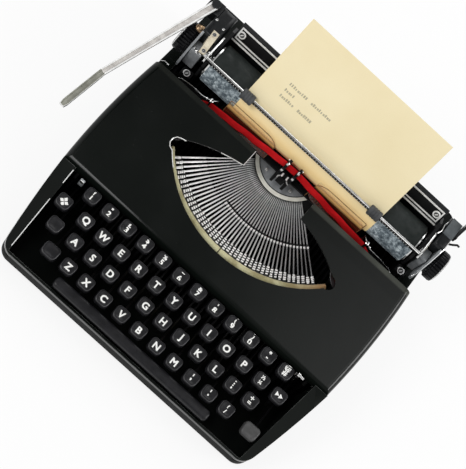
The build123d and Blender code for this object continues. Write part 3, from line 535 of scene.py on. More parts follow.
def add_feet():
    low, high = corners("rubber_feet")
    reach = 9.0
    feet = Shape("rubber")
    for x in (low.x + reach, high.x - reach):
        for y in (low.y + reach, high.y - reach):
            feet.turned([(0.1, 0), (reach - 1.2, 0), (reach, 1.0), (reach, 3.0), (reach - 0.8, 3.4),
                         (reach - 0.8, 4.2), (reach, 4.6), (reach, 9.2), (reach - 0.5, 9.9), (0.1, 9.9)],
                        (x, y, 0), Z)
    feet.make("rubber_feet_moulded", "chassis", ["rubber_feet"])


def on_hood(x, y):
    """A place just under the ribbon cover's top."""
    return x, y, 75.0 + (y + 64.0) * 15.0 / 95.0 - 0.2


def add_rims():
    """Bright beads that are painted highlights: along the opening's left edge and the top of the left bay wall.
    """
    rim = Shape("plated")
    centre_y, radius, corner = 71.6, 110.6, 6.25
    path = [(x, centre_y - math.sqrt(radius ** 2 - x * x)) for x in (-73.0, -76.5, -80.0, -83.0)]
    path += [(-83.0 - corner * math.sin(a), 4.75 - corner * math.cos(a)) for a in (0.6, 1.2, 1.8, 2.4, 3.0)]
    path.append((-79.6, 11.9))
    rim.tube([on_hood(x + 0.35, y) for x, y in path], 0.42)
    rim.tube([on_hood(-52.0, 24.4), on_hood(-42.0, 27.1), on_hood(-33.4, 28.9), (-31.8, 29.6, 89.6),
              (-31.8, 45.0, 91.6)], 0.36)
    rim.make("opening_edge_highlight", "cover")
    wall = Shape("plated")
    for ends in ((-66.5, -78.0), (-92.0, -134.0)):
        wall.tube([(-126.0 - (y + 137.8) * 0.0542, y, 28.2 + (y + 137.8) * 0.6098) for y in ends], 0.40)
    wall.make("bay_wall_highlight", "chassis")


# Keyboard
KEY_REAR = Vector((0, 100.0, 22.0))
LEVER_RISE = 12.0 / 219.0
CAP_WIDTH = 14.2
CAP_DEPTH = 13.0
CAP_HEIGHT = 6.0
CAP_CORNER = 3.4
CAP_NARROW = 0.10
DISH_RADIUS = 26.0
DISH_DEPTH = 0.7
SHIFT_WIDTH = 16.0
PRINT_LIFT = 0.03


def cap_place(node):
    """Middle of a cap's top, in body millimetres."""
    low, high = corners(node)
    return Vector(((low.x + high.x) / 2, low.y + CAP_DEPTH / 2, high.z))


PITCH = cap_place("key_w").x - cap_place("key_q").x


def dish(x, y):
    """Height of the hollow in a cap's top, below its rim."""
    return min(0.0, DISH_RADIUS - DISH_DEPTH - math.sqrt(DISH_RADIUS ** 2 - x * x - y * y))


def loft(place, width, depth, corner, levels, narrow=0.0):
    """Rings of a rounded rectangle: levels are (distance below the place, inset)."""
    return [[(place.x + x, place.y + y, place.z - down) for x, y in rounded(
        width - 2 * inset, depth - 2 * inset, corner - inset * 0.4, 4, narrow)] for down, inset in levels]


def add_cap(shape, place, width):
    """A cap with drawn-in sides, a rim painted pale as a highlight and a dished top, narrower towards the typist.
    """
    levels = ((CAP_HEIGHT, 0.25), (5.5, 0.0), (3.0, 0.15), (1.4, 0.35), (0.5, 0.75), (0.22, 1.05), (0.08, 1.4),
              (0.02, 1.7))
    rings = loft(place, width, CAP_DEPTH, CAP_CORNER, levels, CAP_NARROW)
    for share in (0.80, 0.5, 0.2):
        outline = rounded((width - 3.6) * share, (CAP_DEPTH - 3.6) * share, 2.4 * share, 4, CAP_NARROW)
        rings.append([(place.x + x, place.y + y, place.z + dish(x * 0.9, y) - 0.10) for x, y in outline])
    faces = shape.skin(rings)
    count = len(rings[0])
    # Painted highlight: the ring of faces round the top edge is paler.
    shape.cover(faces[4 * count:5 * count], "cap_rim_highlight")


def add_lever(shape, x, place):
    """A flat lever from the shaft at the back to the stem under a cap."""
    y, z, half, top = KEY_REAR.y, KEY_REAR.z, 2.5, place.z - CAP_HEIGHT + 0.8
    nose = place.y - 3.0
    nose_z = z + (y - nose) * LEVER_RISE
    shape.side(x - 0.75, [(y + 3.6, z - 1.4), (y + 3.6, z + 1.4), (y + 1.4, z + 3.6), (y - 2.4, z + 3.0),
                          (nose + 9.0, nose_z + half), (nose + 6.0, nose_z + half + 3.0), (nose + 6.0, top),
                          (nose, top), (nose, nose_z - half + 1.5), (nose + 1.5, nose_z - half),
                          (y - 2.4, z - 3.0), (y + 1.4, z - 3.6)], 1.5)


def letter_mesh(text, size):
    """A letter or sign as a flat mesh."""
    curve = bpy.data.curves.new("letter", "FONT")
    curve.body = text
    curve.size = size
    curve.align_x = curve.align_y = "CENTER"
    holder = add_object("letter", curve)
    bpy.context.view_layer.update()
    flat = bpy.data.meshes.new_from_object(holder.evaluated_get(bpy.context.evaluated_depsgraph_get()))
    bpy.data.objects.remove(holder)
    bpy.data.curves.remove(curve)
    return flat


def add_legend(shape, place, text, size, shift):
    """Print text in the hollow of a cap, struck five times a little apart to make it bold."""
    flat = letter_mesh(text, size)
    middle_x, middle_y = ((min(values) + max(values)) / 2
                          for values in list(zip(*(vertex.co for vertex in flat.vertices)))[:2])
    spread = 0.032 * size
    for strike, (u, v) in enumerate(((0, 0), (-1, -1), (1, -1), (1, 1), (-1, 1))):
        start = len(shape.mesh.verts)
        shape.mesh.from_mesh(flat)
        shape.mesh.verts.ensure_lookup_table()
        for vertex in shape.mesh.verts[start:]:
            x, y = vertex.co.x - middle_x + u * spread, vertex.co.y - middle_y + shift + v * spread
            vertex.co = (place.x + x, place.y + y, place.z + dish(x, y) + PRINT_LIFT + 0.008 * strike)
    bpy.data.meshes.remove(flat)


def add_keys(name, body, node, places, legends=(), signs=(), levers=None, width=CAP_WIDTH, pale=None):
    """The caps and levers of one node. Legends are lists of (text, size, shift), and signs are flat outlines."""
    caps = Shape("cap")
    for index, place in enumerate(places):
        caps.finish = "pale_cap" if index == pale else "cap"
        add_cap(caps, place, width)
        caps.finish = "lacquer"
        add_lever(caps, levers[index] if levers else place.x, place)
    caps.make(name + "_cap", body, [node], 50)
    printed = Shape("white")
    for place, legend in zip(places, legends):
        for text, size, shift in legend:
            add_legend(printed, place, text, size, shift)
    for outline in signs:
        spot = places[0]
        printed.flat((spot.x + x, spot.y + y, spot.z + dish(x, y) + PRINT_LIFT) for x, y in outline)
    if legends or signs:
        printed.make(name + "_legend", body, turn_outward=False)


def add_keyboard():
    for letter in "abcdefghijklmnopqrstuvwxyz":
        node = "key_" + letter
        add_keys(node, "letter_" + letter, node, [cap_place(node)], [[(letter.upper(), 8.2, -0.3)]])
    top, home, low_row = (cap_place("key_" + letter) for letter in "qaz")
    step = top - home
    number = Vector((top.x - PITCH / 2, top.y + step.y, top.z + step.z))
    legends = [[(pair[0], 5.4, 3.0), (pair[1], 6.6, -2.3)]
               for pair in "?1 \"2 £3 $4 %5 _6 &7 '8 (9 )0 *- @#".split()]
    legends += [[("½", 5.0, 2.8), ("¼", 5.0, -2.5)], [(":", 6.6, 2.5), (";", 6.6, -2.0)],
                [("+", 6.6, 2.4), ("=", 6.0, -2.1)], [("'", 7.0, 2.6), (",", 8.0, -1.6)],
                [("'", 7.0, 2.6), (".", 8.4, -1.6)], [("?", 5.2, 2.9), ("/", 5.4, -2.3)]]
    spots = [(number, i) for i in range(12)] + [(top, 10), (home, 9), (home, 10)]
    spots += [(low_row, i) for i in (7, 8, 9)]
    places = [row + X * PITCH * i for row, i in spots]
    add_keys("figures_and_signs", "figures", "figure_and_sign_keys", places, legends)
    skip = [[(x - 1.7, -2.2), (x + 1.7, 0), (x - 1.7, 2.2)] for x in (-1.8, 1.8)]
    add_keys("tabulator", "tabulator", "tabulator_key", [top + X * PITCH * 11], signs=skip)
    petals = []
    for u, v in ((1, 0), (0, 1), (-1, 0), (0, -1)):
        x, y, wide, tall = 2.3 * u, 2.3 * v - 0.4, 1.7 + 0.3 * abs(u), 1.7 + 0.3 * abs(v)
        petals.append([(x + wide, y), (x, y + tall), (x - wide, y), (x, y - tall)])
    release = cap_place("margin_release_key")
    add_keys("margin_release", "margin_release", "margin_release_key", [release], signs=petals)
    add_keys("shift_lock", "shift_lock", "shift_lock_key", [cap_place("shift_lock_key")])
    left = Vector((corners("shift_keys")[0].x + SHIFT_WIDTH / 2, low_row.y, low_row.z))
    right = Vector((116.4, low_row.y, low_row.z))
    add_keys("shift", "shift", "shift_keys", [left, right], levers=(left.x, 118.5), width=SHIFT_WIDTH, pale=1)
    add_space_bar()


def add_space_bar():
    low, high = corners("space_bar")
    bar = Shape("cap")
    depth = 10.0
    middle = Vector(((low.x + high.x) / 2, low.y + depth / 2, high.z))
    levels = ((CAP_HEIGHT, 0.3), (5.4, 0.0), (2.0, 0.15), (0.8, 0.6), (0.2, 1.4), (0.0, 2.4))
    bar.skin(loft(middle, high.x - low.x, depth, 3.2, levels))
    bar.finish = "lacquer"
    y, z = KEY_REAR.y, KEY_REAR.z
    for quarter in (9, 34):
        x = cap_place("key_q").x - PITCH / 2 + PITCH * (quarter + 0.5) / 4
        bar.side(x - 0.6, [(y + 3.6, z - 2), (y + 3.6, z + 2), (middle.y + 2, z + 2),
                           (middle.y + 2, middle.z - 5), (middle.y - 2, middle.z - 5), (middle.y - 2, z - 1),
                           (middle.y - 1, z - 2)], 1.2)
    bar.make("space_bar_moulded", "space", ["space_bar"], 50)


# Type basket
LEAN = math.radians(28.0)
UP = Vector((0, math.cos(LEAN), math.sin(LEAN)))
OUTWARD = Vector((0, -math.sin(LEAN), math.cos(LEAN)))
PRINT = Vector((0, 54.5, 108.0))
PRINT_HEIGHT = 58.0
PIVOT_RADIUS = 39.0
BASKET = PRINT - OUTWARD * PRINT_HEIGHT
BARS = 44
FAN = 50.0
SLUG_REST_Z = 61.0
SLUG_OFFSET = 6.0
SLUG_HEEL = 3.6
SLUG_TOE = 7.4
SLUG_ROWS = 4
ROOT_RADIUS = 4.6
MOVING_BAR = 21
LAST_PLAIN_BAR = 13
SEGMENT_TOP = 3.5
FLAT = 17.6


def fan(degrees):
    """The direction in the segment's plane that many degrees from straight down."""
    turn = math.radians(degrees)
    return X * math.sin(turn) - UP * math.cos(turn)


def add_typebar(shape, index, random):
    """One typebar at rest: a round root, a flat shank that steps down to its neck, and a slug with its faces."""
    degrees = -FAN + 2 * FAN * index / (BARS - 1)
    out = fan(degrees)
    pivot = BASKET + out * PIVOT_RADIUS
    reach = math.hypot(PIVOT_RADIUS, PRINT_HEIGHT)
    phase = math.atan2(-out.z, OUTWARD.z)
    rest = math.acos((SLUG_REST_Z - pivot.z) / (reach * math.hypot(out.z, OUTWARD.z))) - phase
    tilt = rest + math.asin(SLUG_OFFSET / reach)
    shank = math.sqrt(reach ** 2 - SLUG_OFFSET ** 2)
    side = out.cross(OUTWARD)

    def plate(outline, half, finish, bevel=0.0):
        shape.finish = finish
        shape.prism([pivot + out * (u * math.sin(tilt) - v * math.cos(tilt))
                     + OUTWARD * (u * math.cos(tilt) + v * math.sin(tilt)) - side * half for u, v in outline],
                    side * 2 * half, bevel)

    def strap(start, end, low, high, half, finish, bevel=0.0):
        plate([(start, low), (end, low), (end, high), (start, high)], half, finish, bevel)

    heel = shank - SLUG_HEEL
    tip = shank + SLUG_TOE - 3.6 * (degrees / FAN) ** 2
    shape.finish = "bar"
    angles = [math.tau * step / 18 for step in range(18)]
    shape.prism([pivot + out * ROOT_RADIUS * math.cos(a) + OUTWARD * max(ROOT_RADIUS * math.sin(a), -3.2)
                 - side * 0.36 for a in angles], side * 0.72)
    plate([(0.0, -1.9), (shank * 0.55, -1.75), (shank * 0.62, -1.25), (tip - 1.2, -1.15),
           (tip - 1.2, 1.15), (shank * 0.62, 1.25), (shank * 0.55, 1.75), (0.0, 1.9)], 0.48, "bar")
    plate([(shank * 0.60, -1.2), (tip - 1.4, -1.1), (tip - 1.4, 1.3), (shank * 0.60, 1.4)],
          0.72 - 0.24 * index / (BARS - 1), "bar", 0.1)
    if index > LAST_PLAIN_BAR:
        # Painted shade: a dark sleeve where the shank is notched, followed by a bright lug.
        strap(shank * 0.515, shank * 0.545, -1.9, 1.95, 0.7, "shade")
        strap(shank * 0.55, shank * 0.575, 1.0, 2.5, 0.85, "slug")
    # Painted shade: the slug's body is dark between its bright faces.
    plate([(heel, -1.2), (tip, -1.2), (tip, SLUG_OFFSET - 1.5), (tip - 0.6, SLUG_OFFSET - 1.0),
           (heel + 0.6, SLUG_OFFSET - 1.0), (heel, SLUG_OFFSET - 1.5)], 1.4, "shade", 0.2)
    spacing = (tip - heel - 1.2) / SLUG_ROWS
    for row in range(SLUG_ROWS):
        middle = heel + 0.6 + spacing * (row + 0.5 + 0.22 * (-1) ** index) + random.uniform(-0.15, 0.15)
        wide, long = random.uniform(0.9, 1.45), random.uniform(0.48, 0.66)
        height = SLUG_OFFSET - random.uniform(0.02, 0.35)
        plate([(middle - long - 0.1, SLUG_OFFSET - 1.0), (middle + long + 0.1, SLUG_OFFSET - 1.0),
               (middle + long, height), (middle - long, height)], wide, "slug", 0.3)


def add_basket():
    random = Random(4)
    bars = Shape("bar")
    for index in range(BARS):
        if index != MOVING_BAR:
            add_typebar(bars, index, random)
    bars.make("typebar_fan", "basket", ["typebars"], 30)
    single = Shape("bar")
    add_typebar(single, MOVING_BAR, random)
    single.make("typebar_g_forged", "typebar_g_body", ["typebar_g"], 30)
    plates = Shape("ring")
    outer, inner, plate = 34.2, 30.9, 30.1
    reach = math.degrees(math.acos(FLAT / outer))
    section = ((inner, 0), (outer, 0), (outer, 1.5), (inner, 1.5))
    plates.skin([[BASKET + fan(-reach + 2 * reach * step / 48) * radius + OUTWARD * (SEGMENT_TOP + height)
                  for radius, height in section] for step in range(49)])
    plates.finish = "disc"
    reach = math.degrees(math.acos(FLAT / plate))
    plates.prism([BASKET + fan(-reach + 2 * reach * step / 40) * plate + OUTWARD * SEGMENT_TOP
                  for step in range(41)], OUTWARD * 1.3)
    plates.finish = "plated"
    for x in (-13.5, 13.5):
        plates.screw(BASKET - UP * (FLAT + 4.4) + X * x + OUTWARD * (SEGMENT_TOP + 1.2), OUTWARD, 1.5)
    # Painted highlights: bright bars along the flat edge of the segment plate.
    edge = BASKET - UP * (FLAT - 0.3) + OUTWARD * (SEGMENT_TOP + 1.2)
    for start, end, radius in ((4.5, 25.5, 0.55), (-5.0, -9.5, 0.45)):
        plates.tube([edge + X * start, edge + X * end], radius)
    plates.finish = "shade"
    plates.block((-22.0, 63.6, 50.0), (22.0, 64.8, 55.4))
    plates.make("segment_plates", "basket", sharp=35)
    guide = Shape("plated")
    for x in (-3.3, 1.8):
        guide.block((x, 46.9, 82.2), (x + 1.5, 50.5, 86.4), 0.25)
    guide.tube([(-3.0, 49.0, 82.4), (-4.6, 48.6, 79.6), (-4.4, 48.6, 76.4)], 0.5)
    guide.tube([(3.0, 49.0, 82.4), (5.0, 48.6, 79.6), (6.6, 48.6, 78.4)], 0.5)
    guide.finish = "lacquer"
    guide.block((-3.4, 49.9, 66.0), (3.4, 51.0, 80.0))
    guide.make("type_guide_jaws", "basket", sharp=35)
    forks = Shape("lacquer")
    for side, left, tip in ((-1, -7.0, -6.9), (1, 4.6, 4.9)):
        forks.finish = "lacquer"
        forks.block((left, 49.4, 90.2), (left + 2.4, 50.2, 106.6), 0.25)
        forks.finish = "plated"
        for base in (89.0, 103.4):
            forks.block((tip, 48.7, base), (tip + 2.0, 49.6, base + 2.6))
        forks.tube([(side * 5.2, 49.2, 106.2), (side * 6.0, 51.4, 107.0), (side * 7.6, 53.0, 106.4)], 0.6)
    forks.make("ribbon_forks", "vibrator", sharp=35)
    add_rest_pad()


def add_rest_pad():
    """The felt arc that the slugs rest in front of, with a soft crowned top and a join at its middle."""
    low, high = corners("type_rest_pad")
    radius, half, outer = 118.2, 3.0, 119.0
    centre_y = -31.5 + outer
    reach = math.asin(85.0 / outer)
    section = ((-1, 0), (1, 0), (1, 0.72), (0.72, 1.10), (0, 1.22), (-0.72, 1.10), (-1, 0.72))
    pad = Shape("felt")
    random = Random(7)
    for first, last in ((-reach, -0.004), (0.004, reach)):
        rings = []
        for step in range(61):
            turn = first + (last - first) * step / 60
            fray = random.uniform(-0.16, 0.16)
            tall = high.z - low.z + 9.0 * (turn / reach) ** 4
            ring = []
            for across, height in section:
                r = radius + across * (half + fray * height)
                ring.append((r * math.sin(turn), centre_y - r * math.cos(turn),
                             low.z + tall * height + fray * 0.6 * height))
            rings.append(ring)
        pad.skin(rings)
    pad.make("felt_rest", "chassis", ["type_rest_pad"], 60)


# Ribbon
RIBBON_Y = 51.35
RIBBON_WIDTH = 13.0
POST_X = 86.0
POST_Z = 78.0
PRINT_Z = 92.0
FORK_X = 7.0
SPOOL = Vector((99.0, 30.0))
PACK_RADIUS = 17.0
RISE_STEPS = 24


def add_ribbon():
    """The inked ribbon in two halves: from each spool round its post and up to the fork."""
    run = Vector((POST_X - SPOOL.x, RIBBON_Y - SPOOL.y))
    outside = PACK_RADIUS + 0.3
    heading = math.atan2(run.y, run.x) - math.acos(outside / run.length)
    leave = SPOOL + Vector((math.cos(heading), math.sin(heading))) * outside
    pack_low = corners("left_ribbon_spool")[0].z + 1.2
    for side, name in ((-1, "left"), (1, "right")):
        path = [(leave.x, leave.y, pack_low), (POST_X + 0.6, RIBBON_Y - 1.0, POST_Z - 0.8),
                (POST_X - 1.0, RIBBON_Y, POST_Z)]
        for step in range(1, RISE_STEPS + 1):
            share = step / RISE_STEPS
            path.append((POST_X - 1.0 + (FORK_X - POST_X + 1.0) * share, RIBBON_Y,
                         POST_Z + (PRINT_Z - POST_Z) * share))
        path.append((0.0, RIBBON_Y, PRINT_Z))
        strip = Shape("ribbon")
        rings = []
        for index, (x, y, z) in enumerate(path):
            sway = 0.0
            if 3 <= index <= 26:
                sway = 0.5 * math.sin(index * 0.9 + side) * math.sin(math.pi * (index - 3) / RISE_STEPS)
            rings.append([(side * x, y - 0.175 * math.sin(math.pi * share) - sway * (1 - 0.6 * share),
                           z + RIBBON_WIDTH * share) for share in (0.0, 0.07, 0.3, 0.5, 0.7, 0.93, 1.0)])
        faces = strip.skin(rings, closed=False, caps=False)
        strip.cover([face for index, face in enumerate(faces) if index % 6 in (0, 5)], "ribbon_edge")
        level = [TO_FRAME @ Vector((side * x, RIBBON_Y, POST_Z)) for x in (POST_X, FORK_X)]
        piece = strip.make("ribbon_" + name, None, ["ribbon"], 70, ("chassis", "vibrator", *level))
    add_spool("left")
    add_spool("right")
    posts = Shape("bright")
    for side in (-1, 1):
        posts.turned([(0.9, 0), (0.9, 26.4), (1.8, 27.0), (1.8, 28.4), (1.0, 29.0), (0.1, 29.0)],
                     (side * POST_X, 50.0, 68.0), Z, 16)
        posts.turned([(1.9, 0), (1.9, 0.8), (1.3, 1.4), (0.1, 1.5)], (side * (POST_X - 4.4), 55.2, 76.0), Z, 16)
        posts.tube([(side * (POST_X - inward), y, z) for inward, y, z in (
            (0, 50.0, 95.6), (3.0, 52.4, 95.8), (4.6, 54.6, 94.0), (4.6, 55.4, 78.0))], 0.55, 10)
    posts.make("ribbon_guide_posts", "chassis", sharp=40)


def add_spool(name):
    """One spool: two plates with holes drawn as dark discs of painted shade, a hub and the wound ribbon."""
    low, high = corners(name + "_ribbon_spool")
    centre = Vector(((low.x + high.x) / 2, (low.y + high.y) / 2, low.z))
    reach, height = (high.x - low.x) / 2, high.z - low.z
    plates = Shape("spool")
    for base, sign in ((0.0, 1), (height, -1)):
        plates.turned([(radius, base + sign * inward) for radius, inward in (
            (2.6, 0), (reach - 0.7, 0), (reach - 0.2, 0.1), (reach, 0.45), (reach - 0.2, 0.8), (reach - 2.2, 0.8),
            (reach - 2.8, 0.5), (8.0, 0.5), (7.4, 0.9), (2.6, 0.9))], centre, Z, 48)
    plates.turned([(2.6, 0.8), (6.0, 0.8), (6.0, height - 0.8), (2.6, height - 0.8)], centre, Z)
    plates.finish = "shade"
    holes, hole_circle = 6, 12.6
    for hole in range(holes):
        angle = math.tau * hole / holes
        spot = Vector((math.cos(angle) * hole_circle, math.sin(angle) * hole_circle, height - 0.46))
        plates.turned([(0.1, 0), (2.7, 0), (2.7, 0.02), (0.1, 0.02)], centre + spot, Z, 20)
    plates.make(name + "_spool_plates", name + "_spool", [name + "_ribbon_spool"], 35)
    wound = Shape("ribbon_edge")
    layers = [(PACK_RADIUS - 0.15 * (layer % 2), 1.3 + (RIBBON_WIDTH - 0.2) * layer / 11) for layer in range(12)]
    wound.turned([(6.0, 1.3), *layers, (6.0, 1.3 + RIBBON_WIDTH - 0.2)], centre, Z, 48)
    wound.make(name + "_wound_ribbon", name + "_spool", sharp=30)


# Carriage
PLATEN_Y = 73.0
PLATEN_Z = 105.0
TEETH = 30


def add_platen():
    low, high = corners("platen")
    radius = (high.y - low.y) / 2
    left, right = -107.5, 116.0
    length = right - left
    roll = Shape("rubber_roll")
    centre = (left, PLATEN_Y, PLATEN_Z)
    roll.turned([(4.2, 2.2), (radius - 1.2, 2.2), (radius - 1.0, 1.6), (radius, 2.4), (radius, length - 2.4),
                 (radius - 1.0, length - 1.6), (radius - 1.2, length - 2.2), (4.2, length - 2.2)], centre, X, 72)
    roll.finish = "bright"
    roll.turned([(4.0, low.x - left), (4.0, high.x - left)], centre, X, 24)
    for start, flip in ((0.0, 1), (length, -1)):
        roll.turned([(4.0, start), (radius - 2.4, start), (radius - 2.0, start + flip * 0.4),
                     (radius - 2.0, start + flip * 2.0), (4.0, start + flip * 2.0)], centre, X, 48)
    roll.make("platen_roll", "platen_body", ["platen"], 35)
    ratchet = Shape("bright")
    ratchet.turned([(4.0, 0.35), (15.0, 0.35), (15.0, 1.3), (4.0, 1.3)], (left - 0.2, PLATEN_Y, PLATEN_Z), X,
                   96, TEETH, 1.3)
    ratchet.make("line_ratchet", "platen_body", sharp=25)
    knobs = Shape("knob")
    low, high = corners("platen_knobs")
    reach = (high.y - low.y) / 2
    for start, end, flip in ((-129.3, low.x, -1), (134.3, high.x, 1)):
        thick = abs(end - start)
        centre = (start, PLATEN_Y, PLATEN_Z)
        knobs.finish = "knob"
        knobs.turned([(4.2, 0), (reach - 3.2, 0), (reach - 2.2, 0.8), (reach - 2.0, 1.8), (reach - 0.3, 2.4),
                      (reach, 3.2), (reach, thick - 2.4), (reach - 0.7, thick - 1.0), (reach - 2.0, thick - 0.2),
                      (reach - 3.6, thick), (reach - 4.2, thick - 0.8), (3.6, thick - 0.8), (3.2, thick - 0.2),
                      (0.1, thick - 0.1)], centre, X * flip, 120, TEETH, 0.9)
        # Painted highlight: a bright ring on each knob's outer chamfer.
        knobs.finish = "bright"
        knobs.turned([(reach - 1.5, thick - 1.4), (reach - 0.42, thick - 1.4), (reach - 1.35, thick - 0.5),
                      (reach - 1.9, thick - 0.5)], centre, X * flip, 96)
    knobs.make("platen_knobs_fluted", "platen_body", ["platen_knobs"], 30)


def add_bail():
    """The bail: a bright top over a front painted dark as shade, with pale scale marks on that front, two arms
    and two rollers.
    """
    low, high = corners("paper_bail")
    rod = Vector((0, 58.7, 126.0))
    left, right = low.x + 0.8, high.x - 0.8
    bail = Shape("bright")
    bail.block((left, rod.y - 1.0, rod.z + 0.6), (right, rod.y + 1.1, rod.z + 1.95), 0.35)
    # Painted shade: the front and underside of the rod are dark below its bright top.
    bail.finish = "lacquer"
    bail.block((left + 0.2, rod.y - 1.1, rod.z - 1.95), (right - 0.2, rod.y + 0.9, rod.z + 0.75), 0.35)
    bail.finish = "white"
    spacing, margin, arm = 2.54, 8, 1.5
    for step in range(int((right - left - 2 * margin) / spacing)):
        foot = rod.z - (1.0 if step % 5 else 1.5)
        bail.tick(left + margin + step * spacing, rod.y - 1.11, foot, rod.z + 0.35, 0.28)
    bail.finish = "bright"
    for x in (low.x, high.x - arm):
        bail.side(x, [(84.0, 121.5), (84.0, 126.0), (80.0, 128.0), (60.0, 129.4), (56.0, 128.4), (54.9, 126.0),
                      (56.0, 123.4), (60.0, 124.6), (78.0, 122.2)], arm, 0.2)
    bail.make("paper_bail_scale", "bail", ["paper_bail"], 35)
    low, high = corners("bail_rollers")
    radius, length, bore = (high.y - low.y) / 2, 11.7, 2.1
    profile = [(bore, 0), (radius - 0.8, 0), (radius, 0.7)]
    for groove in (3.4, 5.85, 8.3):
        profile += [(radius, groove - 0.5), (radius - 0.35, groove - 0.2), (radius - 0.35, groove + 0.2),
                    (radius, groove + 0.5)]
    profile += [(radius, length - 0.7), (radius - 0.8, length), (bore, length)]
    rollers = Shape("roller")
    for x in (low.x, high.x - length):
        rollers.turned(profile, (x, rod.y, rod.z), X)
    rollers.make("bail_rollers_grooved", "bail_roller_pair", ["bail_rollers"], 40)


def add_carriage():
    """The inset plate of the paper table with its lines and screws."""
    low, high = corners("paper_table")
    foot, top = Vector((0, 93.2, 118.0)), Vector((0, 101.0, 131.5))
    along = (top - foot).normalized()
    normal = Vector((0, -along.z, along.y))
    left, right = low.x + 1.6, high.x - 1.6
    trim = Shape("lacquer")

    def strip(x0, x1, start, end, lift, thick):
        trim.prism([X * x + foot + along * height + normal * lift
                    for x, height in ((x0, start), (x1, start), (x1, end), (x0, end))], normal * thick)

    strip(left, right, 2.2, 14.4, 0.05, 0.5)
    trim.finish = "grey_paint"
    for start in (2.2, 13.2):
        strip(left, right, start, start + 1.25, 0.1, 0.75)
    for x in (left, right - 1.2):
        strip(x, x + 1.2, 2.2, 14.4, 0.1, 0.76)
    for x in (-103.3, 111.1):
        trim.ring_screw(X * x + foot + along * 8.3 + normal * 0.5, normal, 3.5, "grey_paint")
    strip(low.x + 0.6, high.x - 0.6, -0.9, 0.3, 0.1, 0.9)
    trim.make("paper_table_trim", "carriage", sharp=35)
    add_carriage_ends()


def add_carriage_ends():
    """What shows between the platen and the covers: plates, brackets, wires, pins and screws."""
    ends = Shape("lacquer")
    for x, z in ((-116.4, 86.0), (123.7, 84.0)):
        ends.finish = "lacquer"
        ends.block((x - 5.0, 56.0, 77.0), (x + 5.0, 63.0, z - 1.0), 0.8)
        ends.ring_screw((x, 58.4, z - 1.0), (0, -0.3, 0.95), 3.2)
    for x, y, z, radius in ((-126.6, 90.6, 127.3, 1.3), (-117.4, 87.8, 127.3, 1.2), (-124.6, 66.4, 111.8, 1.2),
                            (-121.2, 64.6, 111.8, 1.4), (-117.6, 65.6, 111.8, 1.1)):
        ends.finish = "chrome"
        ends.turned([(radius, 0), (radius, 0.78), (radius * 0.6, 1.3), (0.05, 1.3)], (x, y, z), Z, 16)
    for x, y in ((-119.6, 78.4), (-117.3, 61.2)):
        ends.ring_screw((x, y, 127.7), Z, 1.9)
    for finish, low, high, bevel in (("disc", (-126.5, 63.0, 86.0), (-116.0, 74.6, 112.0), 1.2),
                                     ("disc", (124.0, 64.0, 86.0), (130.4, 74.6, 114.0), 1.2),
                                     ("beige", (-122.2, 73.6, 112.0), (-117.2, 74.9, 127.4), 0.3),
                                     ("beige", (120.6, 66.0, 121.2), (122.6, 76.0, 122.4), 0.3),
                                     ("brass", (-133.2, 74.6, 120.4), (-128.6, 81.0, 122.2), 0.4),
                                     ("slate", (123.9, 87.0, 127.2), (133.6, 104.2, 127.9), 0.3)):
        ends.finish = finish
        ends.block(low, high, bevel)
    ends.finish = "beige"
    ends.prism([Vector((x, y, 126.8)) for x, y in ((-122.6, 82.0), (-116.6, 82.0), (-115.6, 70.0), (-114.7, 59.0),
                                                   (-119.9, 58.0), (-121.2, 70.0))], Z, 0.25)
    ends.finish = "brass"
    ends.turned([(0.1, 0), (2.9, 0), (3.1, 0.6), (2.4, 1.2), (2.7, 1.8), (1.4, 2.6), (0.1, 2.6)],
                (-132.4, 77.4, 121.6), Z, 20)
    ends.finish = "disc"
    for x, thick in ((131.2, 2.4), (-128.8, 2.0)):
        ends.side(x, [(75.0, 86.0), (75.0, 127.0), (71.0, 124.0), (64.5, 114.0), (59.0, 101.0), (57.0, 90.0),
                      (57.0, 86.0)], thick, 0.3)
    for finish, radius, sides, *points in (
            ("bright", 0.5, 8, (-124.6, 66.4, 112.6), (-122.4, 64.2, 113.4), (-121.2, 65.6, 113.0)),
            ("bright", 0.55, 8, (-109.8, 63.0, 119.8), (-109.8, 74.0, 123.0), (-109.8, 84.0, 121.6)),
            ("bright", 0.5, 8, (121.0, 84.0, 127.0), (122.4, 88.0, 127.6), (121.6, 94.0, 127.2),
             (122.6, 98.0, 126.8)),
            # Painted highlight: a bright line along the edge of the right side plate.
            ("chrome", 0.4, 8, (133.3, 86.0, 127.5), (133.4, 78.0, 127.2), (133.3, 75.0, 127.2),
             (133.1, 71.0, 124.2), (132.9, 64.5, 114.2), (132.6, 59.0, 101.2), (132.2, 56.9, 92.0)),
            ("lacquer", 0.95, 10, (133.6, 85.0, 123.0), (137.0, 86.6, 124.4), (140.4, 89.4, 124.6),
             (142.4, 90.4, 122.4))):
        ends.finish = finish
        ends.tube(points, radius, sides)
    ends.make("carriage_end_details", "carriage", sharp=35)
    add_deck_wires()


